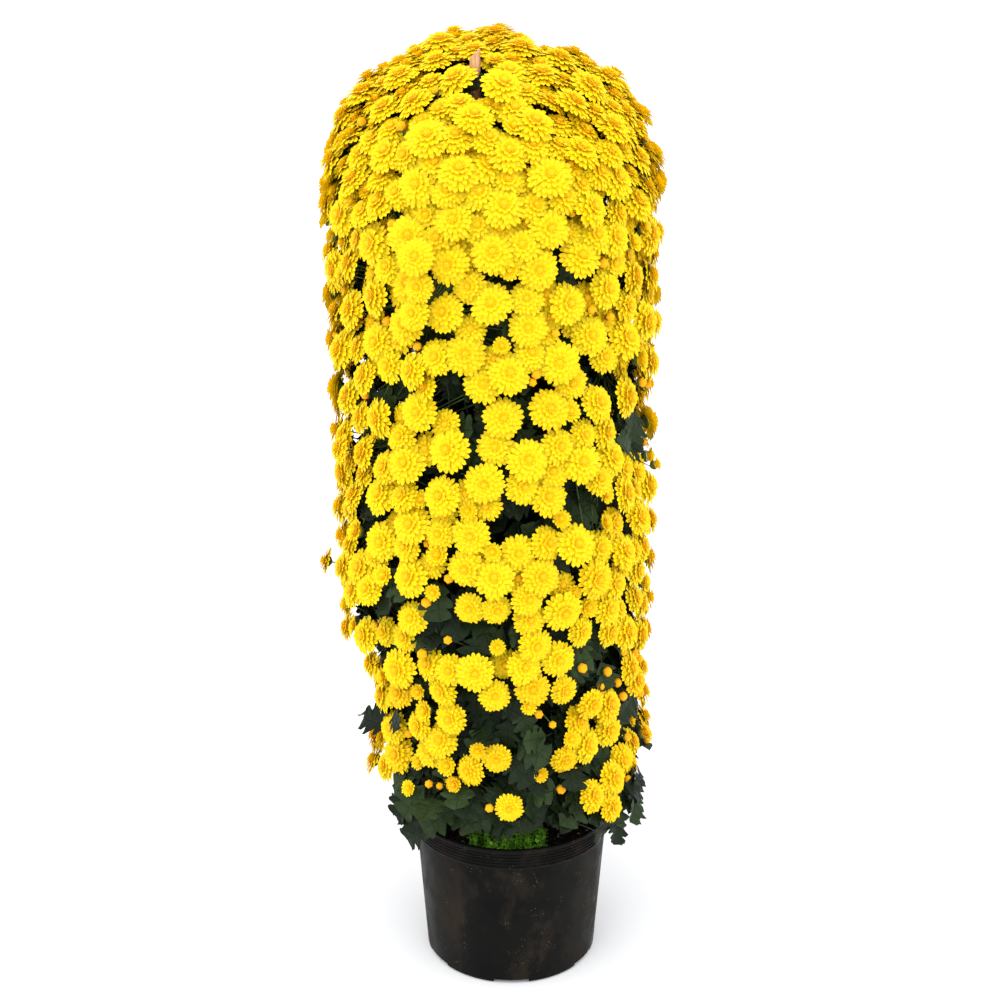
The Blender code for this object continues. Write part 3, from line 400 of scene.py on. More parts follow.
def cane_wood():
    """Streaked and blotched wood, with paler end grain on what faces up."""
    material, tree, shader = new_material("cane wood", Roughness=0.62, Specular_IOR_Level=0.3)
    place = object_place(tree)
    grain = noise_of(tree, stretched(tree, place, (700, 700, 14)), 1.0, 4)
    blotch = stops(tree, noise_of(tree, place, 45.0, 3), *WOOD_BLOTCH)
    coloured = mixed(tree, 1.0, stops(tree, grain, *WOOD_TONES), blotch, "MULTIPLY")
    normal = wire(tree, "ShaderNodeNewGeometry").outputs["Normal"]
    facing = wire(tree, "ShaderNodeSeparateXYZ", {"Vector": normal})
    cut = stops(tree, facing.outputs["Z"], (0.55, BLACK), (0.65, WHITE))
    tree.links.new(mixed(tree, cut, coloured, END_GRAIN), shader.inputs["Base Color"])
    bumped(tree, shader, grain, 0.35, 0.0005)
    return material


cane = finished("cane_stake", stake(), cane_wood(), True, ["cane"])
cane.data.set_sharp_from_angle(angle=SHARP)

# Main stem
# The woody stem that all the shoots leave. It stands in the soil, and its bark is furrowed along it.
# Only glimpses of it show between the leaves.
STEM_EDGE = 0.0012
LONG_EDGE = 0.05
BARK_TONES = ((0.35, (0.055, 0.040, 0.022)), (0.7, (0.16, 0.12, 0.06)))


def merged(node):
    """The node's loose triangles as one joined mesh."""
    bm = bmesh.new()
    bm.from_mesh(node.data)
    bmesh.ops.remove_doubles(bm, verts=bm.verts, dist=1e-5)
    return bm


def stem_rings():
    """Middle of each ring of the main stem, from its foot up."""
    bm = merged(nodes["main_stem"])
    levels = {}
    for vertex in bm.verts:
        levels.setdefault(round(vertex.co.z, 4), []).append(vertex.co.copy())
    bm.free()
    return [sum(level, Vector()) / len(level) for _, level in sorted(levels.items())]


STEM_RINGS = stem_rings()


def curve_at(place, curve):
    """A value read off a curve, which is a row of places and the row of values at them."""
    return float(np.interp(place, *curve))


def stem_middle(height):
    middles = ([ring.z for ring in STEM_RINGS], [ring.x for ring in STEM_RINGS])
    return Vector((curve_at(height, middles), 0, height))


def bark():
    material, tree, shader = new_material("woody stem bark", Roughness=0.85, Specular_IOR_Level=0.25)
    grain = noise_of(tree, stretched(tree, object_place(tree), (420, 420, 40)), 1.0, 4)
    tree.links.new(stops(tree, grain, *BARK_TONES), shader.inputs["Base Color"])
    bumped(tree, shader, grain, 0.6, 0.001)
    return material


def rounded_stem():
    bm = merged(nodes["main_stem"])
    long_edges = [edge for edge in bm.edges if abs(edge.verts[0].co.z - edge.verts[1].co.z) > LONG_EDGE]
    bmesh.ops.bevel(
        bm, geom=long_edges, offset=STEM_EDGE, affect="EDGES", segments=2, profile=0.5, material=-1,
        clamp_overlap=True
    )
    return bm


finished("woody_stem", rounded_stem(), bark(), True, ["main_stem"])

# Blooms
# About 1,030 small double daisies, open, half open or half hidden behind others, and 140 buds. An open
# one is a cushion of 77 soft petals in five rings round a tight, more orange button.
UP = Vector((0, 0, 1))
BLOOM_SEED = 23
HEAD_DOME = 0.36
BLOOM_FAN = 10
BUD_FAN = 3
EVEN = 0.03
OPEN_FROM = 0.0235
OPEN_SCALE = 0.92
OTHER_SCALE = 0.95
HUB_BACK = 0.002
# a head before each hub: how far out, how much room it needs, and its radii
HUB_FILL = (0.022, 0.020, (0.020, 0.024))
CROWN_FROM = 1.04
TRIES = 40
# each layer's kind, count, radii, distances from another head, room to it, and depths below its face
LAYERS = (
    ("open", 340, (0.0215, 0.0255), (0.020, 0.048), 0.66, (0.000, 0.007)),
    ("young", 90, (0.0130, 0.0180), (0.020, 0.056), 0.66, (0.000, 0.010)),
    ("back", 235, (0.0200, 0.0235), (0.018, 0.044), 0.50, (0.009, 0.017)),
    ("bud", 100, (0.0045, 0.0066), (0.022, 0.056), 0.86, (-0.002, 0.008)),
)
# buds and half-open heads are common low down, and blooms behind other blooms higher up
YOUNG_SHARE = ((0.28, 0.33, 0.60, 0.90, 1.25), (0.0, 1.0, 0.8, 0.30, 0.10))
SHARES = {
    "open": ((0.265, 0.285, 0.42, 0.60, 0.75), (0.0, 0.9, 0.7, 0.6, 1.0)),
    "back": ((0.40, 0.60, 0.80), (0.0, 0.25, 1.0)),
    "young": YOUNG_SHARE,
    "bud": YOUNG_SHARE,
}
# by height: how far the second neighbour may be, how one-sided the nearest three, and the room needed
FAR = ((0.45, 0.75), (0.100, 0.043))
ONE_SIDED = ((0.45, 0.75), (3.0, 2.35))
CROWDING = ((0.98, 1.15), (1.0, 0.79))
LOOK_JITTER = 0.20
# the hollow before the cane's top: how far to the front, down and aside
CANE_HOLLOW = (0.055, 0.050, 0.004)
CANE_SPACE = 0.010
# rings from the outside in: petals, length, width, lift in degrees and rows of faces
OPEN_RINGS = (
    (23, 1.00, 0.128, 6, 3),
    (20, 0.88, 0.128, 13, 2),
    (16, 0.72, 0.122, 23, 2),
    (11, 0.53, 0.115, 37, 2),
    (7, 0.34, 0.100, 56, 1),
)
BACK_RINGS = ((21, 1.00, 0.135, 6, 2), (16, 0.80, 0.130, 18, 2), (10, 0.53, 0.120, 36, 1))
YOUNG_RINGS = ((16, 1.00, 0.150, 34, 2), (13, 0.82, 0.150, 46, 2), (9, 0.60, 0.140, 60, 1))
RING_RISE = 0.080
PETAL_OUTLINE = ((0.0, 0.6, 0.7, 1.0), (0.55, 1.0, 1.0, 0.74))
PETAL_ROOT = 0.10
PETAL_TONES = (
    (0.0, (1.0, 0.735, 0.007)),
    (0.5, (1.0, 0.725, 0.006)),
    (0.8, (1.0, 0.65, 0.005)),
    (1.0, (0.97, 0.42, 0.004)),
)
PETAL_FOOT = ((0.0, (0.98, 0.88, 0.8)), (0.5, WHITE))
PETAL_STREAK = ((0.0, (0.95, 0.93, 0.88)), (0.5, WHITE))
# tint ramp of the blooms: its darker end is painted shade on the low blooms, the spread round it random tone
PETAL_TONE_AND_SHADE = ((0.0, (0.94, 0.80, 0.70)), (0.5, (0.99, 0.95, 0.92)), (1.0, WHITE))
# by height: lower blooms get lower tints and so darker petals, as painted shade
BLOOM_SHADE_BY_HEIGHT = ((0.3, 0.7, 1.1), (0.28, 0.62, 0.82))
SUNK = 0.10
LEAN = -0.026
LEAN_FROM = 0.35
LEAN_RISE = 0.25
# the blooms that stand alone or in pairs on the leaves, low in front: kind, x and height
LOW_FRONT = (
    ("open", -0.020, 0.382), ("open", -0.004, 0.314), ("bud", -0.030, 0.313), ("open", 0.069, 0.374),
    ("young", 0.036, 0.359), ("bud", 0.064, 0.334), ("open", 0.067, 0.474), ("young", 0.020, 0.458),
    ("young", -0.044, 0.393), ("open", 0.104, 0.445), ("young", 0.076, 0.404), ("bud", 0.090, 0.500),
    ("open", -0.128, 0.572), ("open", -0.054, 0.596), ("open", -0.020, 0.595), ("young", -0.099, 0.614),
    ("open", -0.172, 0.558), ("young", -0.075, 0.340), ("bud", -0.110, 0.330),
)
LOW_RADII = {"open": (0.020, 0.023), "young": (0.013, 0.017), "bud": (0.005, 0.0065)}
LOW_REACH = ((0.30, 0.36, 0.45, 0.60), (0.196, 0.188, 0.194, 0.204))
LOW_ROOM = 0.62
LOW_LIFT = 0.12


def lean(height):
    """How far the plant's middle leans to one side at a height."""
    share = min(1.0, max(0.0, (height - LEAN_FROM) / LEAN_RISE))
    return LEAN * share * share * (3 - 2 * share)


class Head:
    """One bloom or bud: where its middle is, where it looks, its radius, its kind and its spray."""

    def __init__(self, middle, look, radius, kind, spray):
        self.middle, self.look, self.radius, self.kind, self.spray = middle, look, radius, kind, spray


def fan_round(peak):
    """The far ends of a point's edges, the nearest first."""
    ends = [edge.other_vert(peak).co.copy() for edge in peak.link_edges]
    return sorted(ends, key=lambda end: (end - peak.co).length)


def are_even(peak, ends):
    """Whether the ends lie equally far from the peak."""
    near, far = (ends[0] - peak.co).length, (ends[-1] - peak.co).length
    return far - near < EVEN * far


def spray_heads(name):
    """The heads of one spray of the frame, each found by its fan of ten or three faces round a peak."""
    bm = merged(nodes[name])
    heads = []
    for peak in bm.verts:
        ends = fan_round(peak)
        if len(ends) == BUD_FAN:
            middle = sum(ends, Vector()) / BUD_FAN
            look = peak.co - middle
            heads.append(Head(middle, look.normalized(), look.length, "bud", name))
        elif len(ends) == BLOOM_FAN:
            inner, outer = ends[:BLOOM_FAN // 2], ends[BLOOM_FAN // 2:]
            if are_even(peak, inner) and are_even(peak, outer):
                middle = sum(outer, Vector()) / len(outer)
                look = peak.co - middle
                radius = look.length / HEAD_DOME
                kind = "open" if radius > OPEN_FROM else "young"
                heads.append(Head(middle, look.normalized(), radius, kind, name))
    bm.free()
    return heads


def hub_of(name, heads):
    """The back of the spray's hub, where its shoot ends and all its stalks begin."""
    bm = merged(nodes[name])
    look = sum((head.look for head in heads), Vector()).normalized()
    depths = [vertex.co.dot(look) for vertex in bm.verts]
    back = [vertex.co.copy() for vertex, depth in zip(bm.verts, depths) if depth < min(depths) + HUB_BACK]
    bm.free()
    return sum(back, Vector()) / len(back)


SPRAYS = sorted(name for name in nodes if name.startswith("spray"))
HEADS = [head for name in SPRAYS for head in spray_heads(name)]
HUBS = {name: hub_of(name, [head for head in HEADS if head.spray == name]) for name in SPRAYS}
CAD_HEADS = list(HEADS)


def tree_of(heads):
    """A tree that finds the heads nearest to a point."""
    tree = KDTree(len(heads))
    for index, head in enumerate(heads):
        tree.insert(head.middle, index)
    tree.balance()
    return tree


def hides_cane(spot, radius):
    """Whether a head would stand on the cane, or over the hollow in front of its top."""
    cane = cane_point(min(CANE_TOP.z, spot.z))
    front, down, aside = CANE_HOLLOW
    in_front = CANE_TOP.y - front < spot.y < CANE_TOP.y and CANE_TOP.z - down < spot.z
    over_hollow = in_front and abs(spot.x - CANE_TOP.x) < radius + aside
    return over_hollow or (spot - cane).length < radius + CANE_SPACE


def scatter(draw, reach):
    return Vector([draw.uniform(-reach, reach) for _ in range(3)])


def between(draw, tree, anchors, reach, room, depths, radius):
    """A place among the anchors' faces, with the direction that they give it, or None."""
    near = draw.choice(anchors)
    side = near.look.orthogonal().normalized()
    side.rotate(Matrix.Rotation(draw.uniform(0, 2 * math.pi), 3, near.look))
    spot = near.middle + side * draw.uniform(*reach)
    around = [anchors[index] for _, index, _ in tree.find_n(spot, 4)]
    weights = [1 / max(1e-5, (spot - head.middle).length_squared) for head in around]
    weighed = list(zip(around, weights))
    look = sum((head.look * weight for head, weight in weighed), Vector()).normalized()
    depth = sum((head.middle - spot).dot(look) * weight for head, weight in weighed) / sum(weights)
    spot = spot + look * (depth - draw.uniform(*depths))
    pull = sum(((head.middle - spot).normalized() for head in around[:3]), Vector())
    if (spot - around[1].middle).length > curve_at(spot.z, FAR) or pull.length > curve_at(spot.z, ONE_SIDED):
        return None
    room *= curve_at(spot.z, CROWDING)
    if any((other.middle - spot).length < room * (radius + other.radius) for other in HEADS):
        return None
    if hides_cane(spot, radius):
        return None
    look = (look + LOOK_JITTER * scatter(draw, 1)).normalized()
    return Head(spot, look, radius, "open", around[0].spray)


def low_front_heads(draw):
    """Sets the low blooms of the front on the surface of the leaves, where no other stands."""
    for kind, x, z in LOW_FRONT:
        middle = Vector((lean(z), 0, z))
        out = math.sqrt(max(0.0, curve_at(z, LOW_REACH) ** 2 - (x - middle.x) ** 2))
        spot = Vector((x, -out, z))
        radius = draw.uniform(*LOW_RADII[kind])
        if all((head.middle - spot).length > LOW_ROOM * (head.radius + radius) for head in HEADS):
            look = (spot - middle).normalized() + scatter(draw, 0.2)
            look.z += LOW_LIFT
            owner = min(HUBS, key=lambda name: (HUBS[name] - spot).length)
            HEADS.append(Head(spot, look.normalized(), radius, kind, owner))


def fill_in():
    """True-size heads, and the rest of them between the frame's own."""
    draw = random.Random(BLOOM_SEED)
    for head in HEADS:
        head.radius *= OPEN_SCALE if head.kind == "open" else OTHER_SCALE
    anchors = [head for head in CAD_HEADS if head.kind != "bud"]
    tree = tree_of(anchors)
    hub_out, hub_room, hub_radii = HUB_FILL
    for name, hub in HUBS.items():
        near = anchors[tree.find(hub)[1]]
        spot = hub + near.look * hub_out
        radius = draw.uniform(*hub_radii)
        if min((spot - head.middle).length for head in HEADS) > hub_room and not hides_cane(spot, radius):
            HEADS.append(Head(spot, near.look, radius, "open", name))
    low_front_heads(draw)
    # the crown's heads stand in the list three times, so that more blooms gather round them
    anchors += 2 * [head for head in anchors if head.middle.z > CROWN_FROM]
    for kind, count, radii, reach, room, depths in LAYERS:
        made = 0
        for _ in range(count * TRIES):
            found = between(draw, tree, anchors, reach, room, depths, draw.uniform(*radii))
            if found is None or draw.random() > curve_at(found.middle.z, SHARES[kind]):
                continue
            found.kind = kind
            HEADS.append(found)
            made += 1
            if made == count:
                break


fill_in()


def numbered_bmesh(*names):
    """An empty bmesh with a UV map and a named number on each of its points."""
    bm = bmesh.new()
    bm.loops.layers.uv.new("UVMap")
    for name in names:
        bm.verts.layers.float.new(name)
    return bm


def bend_petal(verts, length, width, pitch, turn, draw):
    """Shapes a flat grid as a petal: narrow foot, round tip, cupped across, and turned to its place."""
    rise = math.radians(pitch + draw.uniform(-5, 5))
    reach = length * draw.uniform(0.94, 1.04)
    turn += draw.uniform(-0.05, 0.05)
    twist = draw.uniform(-0.12, 0.12)
    out, across = Vector((math.cos(turn), math.sin(turn), 0)), Vector((-math.sin(turn), math.cos(turn), 0))
    for vertex in verts:
        side, along = vertex.co.x, (vertex.co.y + 1) / 2
        half = width * curve_at(along, PETAL_OUTLINE)
        rounding = 0.09 * length * side * side if along > 0.9 else 0
        run = along * (reach - PETAL_ROOT) - rounding
        lift = run * math.sin(rise) + width * (0.26 * side * side + twist * side) - 0.17 * length * along ** 2
        vertex.co = out * (PETAL_ROOT + run * math.cos(rise)) + across * (side * half) + UP * lift


def bloom_form(rings, seed, core):
    """One bloom at radius 1, looking up, on a core of the given height, with its shade numbers."""
    draw = random.Random(seed)
    bm = numbered_bmesh("ring", "tint")
    ring_layer = bm.verts.layers.float["ring"]
    for number, (count, length, width, pitch, rows) in enumerate(rings):
        for petal in range(count):
            made = bmesh.ops.create_grid(bm, x_segments=2, y_segments=rows, size=1, calc_uvs=True)["verts"]
            turn = 2 * math.pi * (petal + 0.5 * (number % 2)) / count
            bend_petal(made, length, width, pitch, turn, draw)
            for vertex in made:
                vertex.co.z += 0.05 + RING_RISE * number
                vertex[ring_layer] = number / len(rings)
    heart = bmesh.ops.create_cone(bm, segments=9, radius1=0.46, radius2=0.11, depth=core, cap_ends=True)
    for vertex in heart["verts"]:
        vertex.co.z += core / 2
        vertex[ring_layer] = 0.85
    return mesh_of("bloom form", bm)


def bud_form(seed):
    """A closed bud at radius 1: a pointed ball of folded petals."""
    draw = random.Random(seed)
    bm = numbered_bmesh("ring", "tint")
    ring_layer = bm.verts.layers.float["ring"]
    bmesh.ops.create_uvsphere(bm, u_segments=12, v_segments=7, radius=1, calc_uvs=True)
    for vertex in bm.verts:
        x, y, z = vertex.co
        fold = 1 + 0.09 * math.cos(6 * math.atan2(y, x)) * math.hypot(x, y)
        vertex.co = Vector((x * fold, y * fold, z * 0.95 + 0.1 * draw.random()))
        vertex[ring_layer] = 1.0
    return mesh_of("bud form", bm)


BLOOM_FORMS = {
    "open": [bloom_form(OPEN_RINGS, seed, 0.50) for seed in range(6)],
    "back": [bloom_form(BACK_RINGS, 30 + seed, 0.44) for seed in range(3)],
    "young": [bloom_form(YOUNG_RINGS, 20 + seed, 0.62) for seed in range(3)],
    "bud": [bud_form(40 + seed) for seed in range(2)],
}


def placed(middle, look, size, turn):
    """The transform that looks along a direction, at a place and a size."""
    return (
        Matrix.Translation(middle)
        @ look.to_track_quat("Z", "Y").to_matrix().to_4x4()
        @ Matrix.Rotation(turn, 4, "Z")
        @ Matrix.Diagonal((size, size, size, 1))
    )


def add_tinted(bm, mesh, tint):
    """Adds a mesh, with one tint number on all of its points, and clears it away."""
    mesh.attributes["tint"].data.foreach_set("value", [tint] * len(mesh.vertices))
    bm.from_mesh(mesh)
    bpy.data.meshes.remove(mesh)


def put(bm, form, place, tint):
    """Adds a copy of a form at a place."""
    copy = form.copy()
    copy.transform(place)
    add_tinted(bm, copy, tint)


def number_of(tree, name):
    """A number that the piece's points carry."""
    return wire(tree, "ShaderNodeAttribute", attribute_name=name).outputs["Fac"]


def map_of(tree):
    """The piece's own map and its two directions."""
    uv = wire(tree, "ShaderNodeUVMap", uv_map="UVMap").outputs["UV"]
    parts = wire(tree, "ShaderNodeSeparateXYZ", {"Vector": uv})
    return uv, parts.outputs["X"], parts.outputs["Y"]


def petal_yellow():
    """Soft petal tissue: lemon at the tips, more orange at the foot and in the inner rings."""
    material, tree, shader = new_material(
        "yellow petals", Roughness=0.60, Specular_IOR_Level=0.12, Subsurface_Weight=0.50,
        Subsurface_Radius=(1.0, 0.85, 0.1), Subsurface_Scale=0.010
    )
    uv, _, along = map_of(tree)
    by_ring = stops(tree, number_of(tree, "ring"), *PETAL_TONES)
    coloured = mixed(tree, 1.0, by_ring, stops(tree, along, *PETAL_FOOT), "MULTIPLY")
    ribs = wire(tree, "ShaderNodeTexWave", {"Vector": uv, "Scale": 1.6, "Distortion": 0.6}).outputs["Fac"]
    streaked = mixed(tree, 0.7, coloured, stops(tree, ribs, *PETAL_STREAK), "MULTIPLY")
    # the tint darkens the low blooms: painted shade, with some random tone
    toned_and_shaded = stops(tree, number_of(tree, "tint"), *PETAL_TONE_AND_SHADE)
    tree.links.new(mixed(tree, 1.0, streaked, toned_and_shaded, "MULTIPLY"), shader.inputs["Base Color"])
    bumped(tree, shader, ribs, 0.15, 0.0004)
    return material


PETAL_YELLOW = petal_yellow()


def bloom_tone_and_shade(draw, height):
    """Blooms low on the plant are painted darker and duller, which is painted shade, with a random spread of
    tone from bloom to bloom.
    """
    return min(1.0, max(0.0, draw.gauss(curve_at(height, BLOOM_SHADE_BY_HEIGHT), 0.16)))


def make_blooms():
    draw = random.Random(BLOOM_SEED + 1)
    for name in SPRAYS:
        bm = numbered_bmesh("ring", "tint")
        for head in HEADS:
            if head.spray != name:
                continue
            form = draw.choice(BLOOM_FORMS[head.kind])
            sunk = 0.0 if head.kind in ("young", "bud") else SUNK * head.radius
            turn = draw.uniform(0, 2 * math.pi)
            place = placed(head.middle - head.look * sunk, head.look, head.radius, turn)
            # low blooms get darker tints: painted shade
            put(bm, form, place, bloom_tone_and_shade(draw, head.middle.z))
        finished(name + "_petals", bm, PETAL_YELLOW, True, [name])


make_blooms()

# Stalks and calyces
# Every head sits in a green calyx on a soft, ribbed green stalk, and the stalks of a spray gather
# on the end of their shoot.
STALK_RADIUS = 0.0011
STALK_BEND = 0.030
CALYX_SIDES = 7
CALYX_RADII = (0.10, 0.32, 0.44)
CALYX_HEIGHTS = (-0.42, -0.28, -0.02)
CALYX_SIZES = {"open": 1.0, "back": 1.0, "young": 1.15, "bud": 2.3}
CALYX_RISES = {"open": 0.06, "back": 0.06, "young": 0.0, "bud": -0.35}
STALK_TONES = ((0.035, 0.055, 0.014), (0.060, 0.095, 0.022), (0.10, 0.15, 0.035))
MOTTLE = ((0.3, (0.72, 0.76, 0.70)), (0.7, (1.15, 1.12, 1.10)))


def straight_stalk(sides):
    """A closed rod from 0 to 1 along its length, with rings to bend it at."""
    bm = bmesh.new()
    bmesh.ops.create_cone(bm, segments=sides, radius1=1, radius2=1, depth=1, cap_ends=True)
    bmesh.ops.translate(bm, vec=(0, 0, 0.5), verts=bm.verts)
    for level in (0.33, 0.67):
        rod = bm.verts[:] + bm.edges[:] + bm.faces[:]
        bmesh.ops.bisect_plane(bm, geom=rod, plane_co=(0, 0, level), plane_no=(0, 0, 1))
    bm.verts.layers.float.new("tint")
    return mesh_of("stalk form", bm)


def add_stalk(bm, form, ends, bend, thick, thin, tint):
    """A round stalk along a smooth bend between its two ends."""
    start, end = ends
    side = (bend - start).cross(end - start)
    if side.length < 1e-9:
        side = (end - start).orthogonal()
    side.normalize()
    stalk = form.copy()
    for vertex in stalk.vertices:
        x, y, t = vertex.co
        centre = start.lerp(bend, t).lerp(bend.lerp(end, t), t)
        along = (bend - start).lerp(end - bend, t).normalized()
        vertex.co = centre + (side * x + along.cross(side) * y) * (thick + (thin - thick) * t)
    add_tinted(bm, stalk, tint)


def calyx_form():
    """A closed green cup at radius 1, widening up to the petals above it."""
    bm = bmesh.new()
    bm.verts.layers.float.new("tint")
    foot = bmesh.ops.create_circle(bm, radius=CALYX_RADII[0], segments=CALYX_SIDES, cap_ends=True)["verts"]
    bmesh.ops.translate(bm, vec=(0, 0, CALYX_HEIGHTS[0]), verts=foot)
    face = bm.faces[:][0]
    for radius, height in zip(CALYX_RADII[1:], CALYX_HEIGHTS[1:]):
        face = pulled(bm, face)
        middle = face.calc_center_median()
        widened(bm, face, middle, radius / (face.verts[0].co - middle).length)
        bmesh.ops.translate(bm, vec=(0, 0, height - middle.z), verts=face.verts)
    bmesh.ops.recalc_face_normals(bm, faces=bm.faces)
    return mesh_of("calyx form", bm)


STALK = straight_stalk(4)
CALYX = calyx_form()


def leaf_green(name, tones, roughness):
    """Green tissue, coloured by tint and finely mottled, but with its colour not yet joined on."""
    material, tree, shader = new_material(name, Specular_IOR_Level=0.15, Roughness=roughness)
    base = stops(tree, number_of(tree, "tint"), *zip((0.0, 0.5, 1.0), tones))
    place = object_place(tree)
    coloured = mixed(tree, 1.0, base, stops(tree, noise_of(tree, place, 120.0, 4), *MOTTLE), "MULTIPLY")
    return material, tree, shader, coloured, place


def stalk_green():
    material, tree, shader, coloured, place = leaf_green("green stalks", STALK_TONES, 0.6)
    tree.links.new(coloured, shader.inputs["Base Color"])
    bumped(tree, shader, noise_of(tree, place, 700.0, 2), 0.3, 0.0004)
    return material


STALK_GREEN = stalk_green()


def make_stalks():
    draw = random.Random(BLOOM_SEED + 2)
    for name in SPRAYS:
        bm = bmesh.new()
        bm.verts.layers.float.new("tint")
        hub = HUBS[name]
        for head in HEADS:
            if head.spray != name:
                continue
            size = head.radius * CALYX_SIZES[head.kind]
            cup = head.radius * CALYX_RISES[head.kind]
            place = placed(head.middle + head.look * cup, head.look, size, 0)
            put(bm, CALYX, place, draw.uniform(0.4, 0.9))
            foot = head.middle + head.look * (cup - size * 0.40)
            bend = foot - head.look * min(STALK_BEND, 0.5 * (foot - hub).length)
            tint = draw.uniform(0.3, 0.8)
            add_stalk(bm, STALK, (hub, foot), bend, STALK_RADIUS * 1.25, STALK_RADIUS * 0.8, tint)
        finished(name + "_stalks", bm, STALK_GREEN, True, [name])


make_stalks()

# Leafy shoots
# Each shoot is a firm green side branch with alternate leaves. A leaf is about 45 mm long, lobed in
# five and toothed, dark and slightly grey on top, paler below, on a short leafstalk.
LEAF_SEED = 31
LEAF_LENGTHS = (0.037, 0.056)
LEAFSTALK_RADII = (0.0014, 0.0008)
BRANCH_RADII = (0.0032, 0.0024)
BRANCH_BEND = (0.55, 0.30)
# the outer and the inner leaves: count, first turn, depths, tints and scale; the inner leaves' low tints
# paint them darker deep in the plant, as painted shade
LEAF_LAYERS = {
    "outer": (1400, 0.0, (0.006, 0.040), (0.15, 1.0), 1.00),
    "inner": (880, 1.1, (0.040, 0.105), (0.0, 0.4), 1.35),
}
LOW_LEAVES = 0.42
LOW_DEPTHS = (0.0, 0.045)
# half widths from the leaf's foot to its tip
LEAF_ROWS = (
    0.05, 0.15, 0.35, 0.43, 0.39, 0.24, 0.41, 0.53, 0.54, 0.44, 0.27, 0.38, 0.43, 0.37, 0.28, 0.15, 0.0
)
SMALL_LEAF_ROWS = (0.06, 0.42, 0.26, 0.52, 0.30, 0.36, 0.0)
LEAF_WIDTH = 0.86
LOBE_SWEEP = 0.34
# radius and height of the foliage, from the crown down
FOLIAGE = (
    (0.0, 1.262), (0.060, 1.254), (0.122, 1.230), (0.170, 1.190), (0.198, 1.140), (0.203, 1.080),
    (0.201, 0.950), (0.198, 0.800), (0.203, 0.620), (0.197, 0.490), (0.188, 0.410), (0.187, 0.360),
    (0.196, 0.300), (0.190, 0.262), (0.168, 0.240),
)
FOLIAGE_STEPS = 400
SMOOTHING = 12
LEAF_CROWDING = ((0.22, 0.36, 0.55, 0.80, 1.30), (2.3, 1.9, 1.25, 1.0, 0.75))
GOLDEN_TURN = math.pi * (3 - math.sqrt(5))
# leaf colours by tint, dark to pale grey-green: partly real tone from leaf to leaf, partly painted highlight
# and shade
LEAF_TONE_AND_SHADE = ((0.002, 0.006, 0.0013), (0.007, 0.017, 0.004), (0.026, 0.046, 0.013))
VEIN_GREEN = (0.028, 0.044, 0.016, 1)
UNDER_GREEN = (0.030, 0.042, 0.020, 1)
LEAF_SPOTS = ((1, 0), (0.7, 0.4), (0.7, -0.4), (0.45, 0))
LEAF_ENDS = ((1, 0, 0.2), (0.6, 0.4, 0), (0.6, -0.4, 0), (0.3, 0, 0))
LEAF_SINK = 0.009
# the plant's left, right and depth, and for its low part the height, left and right
PLANT_BOX = (-0.262, 0.212, 0.232)
LOW_BOX = (0.30, -0.168, 0.186)
# the pot's wall with some space round it
WALL_TOP = 0.224
WALL_IN, WALL_OUT = 0.124, 0.146
FLOOR_SPACE = 0.03
# the line of sight over the front rim: its middle and half width, where it starts, its height and slope
OVER_RIM = (0.010, 0.105, -0.09, -0.116, 0.243, 0.31)
BRANCH = straight_stalk(9)
LEAFSTALK = straight_stalk(3)


def foliage_seats(count, phase):
    """Points and outward directions spread evenly over the foliage, with more of them low down."""
    knots = np.array(FOLIAGE)
    along = np.concatenate([[0], np.cumsum(np.hypot(*np.diff(knots, axis=0).T))])
    steps = np.linspace(0, along[-1], FOLIAGE_STEPS)
    radius, height = (np.interp(steps, along, column) for column in knots.T)
    run = np.gradient(np.stack([radius, height]), axis=1)
    window = np.ones(2 * SMOOTHING + 1) / (2 * SMOOTHING + 1)
    run = np.array([np.convolve(np.pad(row, SMOOTHING, "edge"), window, "valid") for row in run])
    run /= np.hypot(*run)
    passed = np.cumsum(radius * np.interp(height, *LEAF_CROWDING))
    passed /= passed[-1]
    for number in range(count):
        share = (number + 0.5) / count
        r, z, out, lift = (curve_at(share, (passed, row)) for row in (radius, height, -run[1], run[0]))
        turn = phase + number * GOLDEN_TURN
        facing = Vector((out * math.sin(turn), -out * math.cos(turn), lift)).normalized()
        yield Vector((lean(z) + r * math.sin(turn), -r * math.cos(turn), z)), facing


def leaf_form(rows, columns, seed):
    """A lobed leaf of length 1 along Y, folded at the midrib, drooping at the tip and wavy at the edge."""
    draw = random.Random(seed)
    bm = numbered_bmesh("tint")
    spaces = len(rows) - 1
    bmesh.ops.create_grid(bm, x_segments=columns, y_segments=spaces, size=1, calc_uvs=True)
    fold, droop = draw.uniform(0.10, 0.34), draw.uniform(0.10, 0.30)
    waves = [draw.uniform(-0.035, 0.035) for _ in range(2 * len(rows))]
    widths = [width * draw.uniform(0.90, 1.10) for width in rows]
    for vertex in bm.verts:
        side = vertex.co.x
        row = round((vertex.co.y + 1) / 2 * spaces)
        half = widths[row] * LEAF_WIDTH
        along = row / spaces
        reach = abs(side) * half
        ripple = waves[row + (len(rows) if side > 0 else 0)] * abs(side)
        lift = reach * fold - droop * along ** 2 + ripple
        vertex.co = Vector((side * half, along * 0.93 + LOBE_SWEEP * reach, lift))
    bmesh.ops.remove_doubles(bm, verts=bm.verts, dist=1e-4)
    return mesh_of("leaf form", bm)


LEAVES = [leaf_form(LEAF_ROWS, 4, seed) for seed in range(8)]
INSIDE_LEAVES = [leaf_form(SMALL_LEAF_ROWS, 2, 50 + seed) for seed in range(4)]


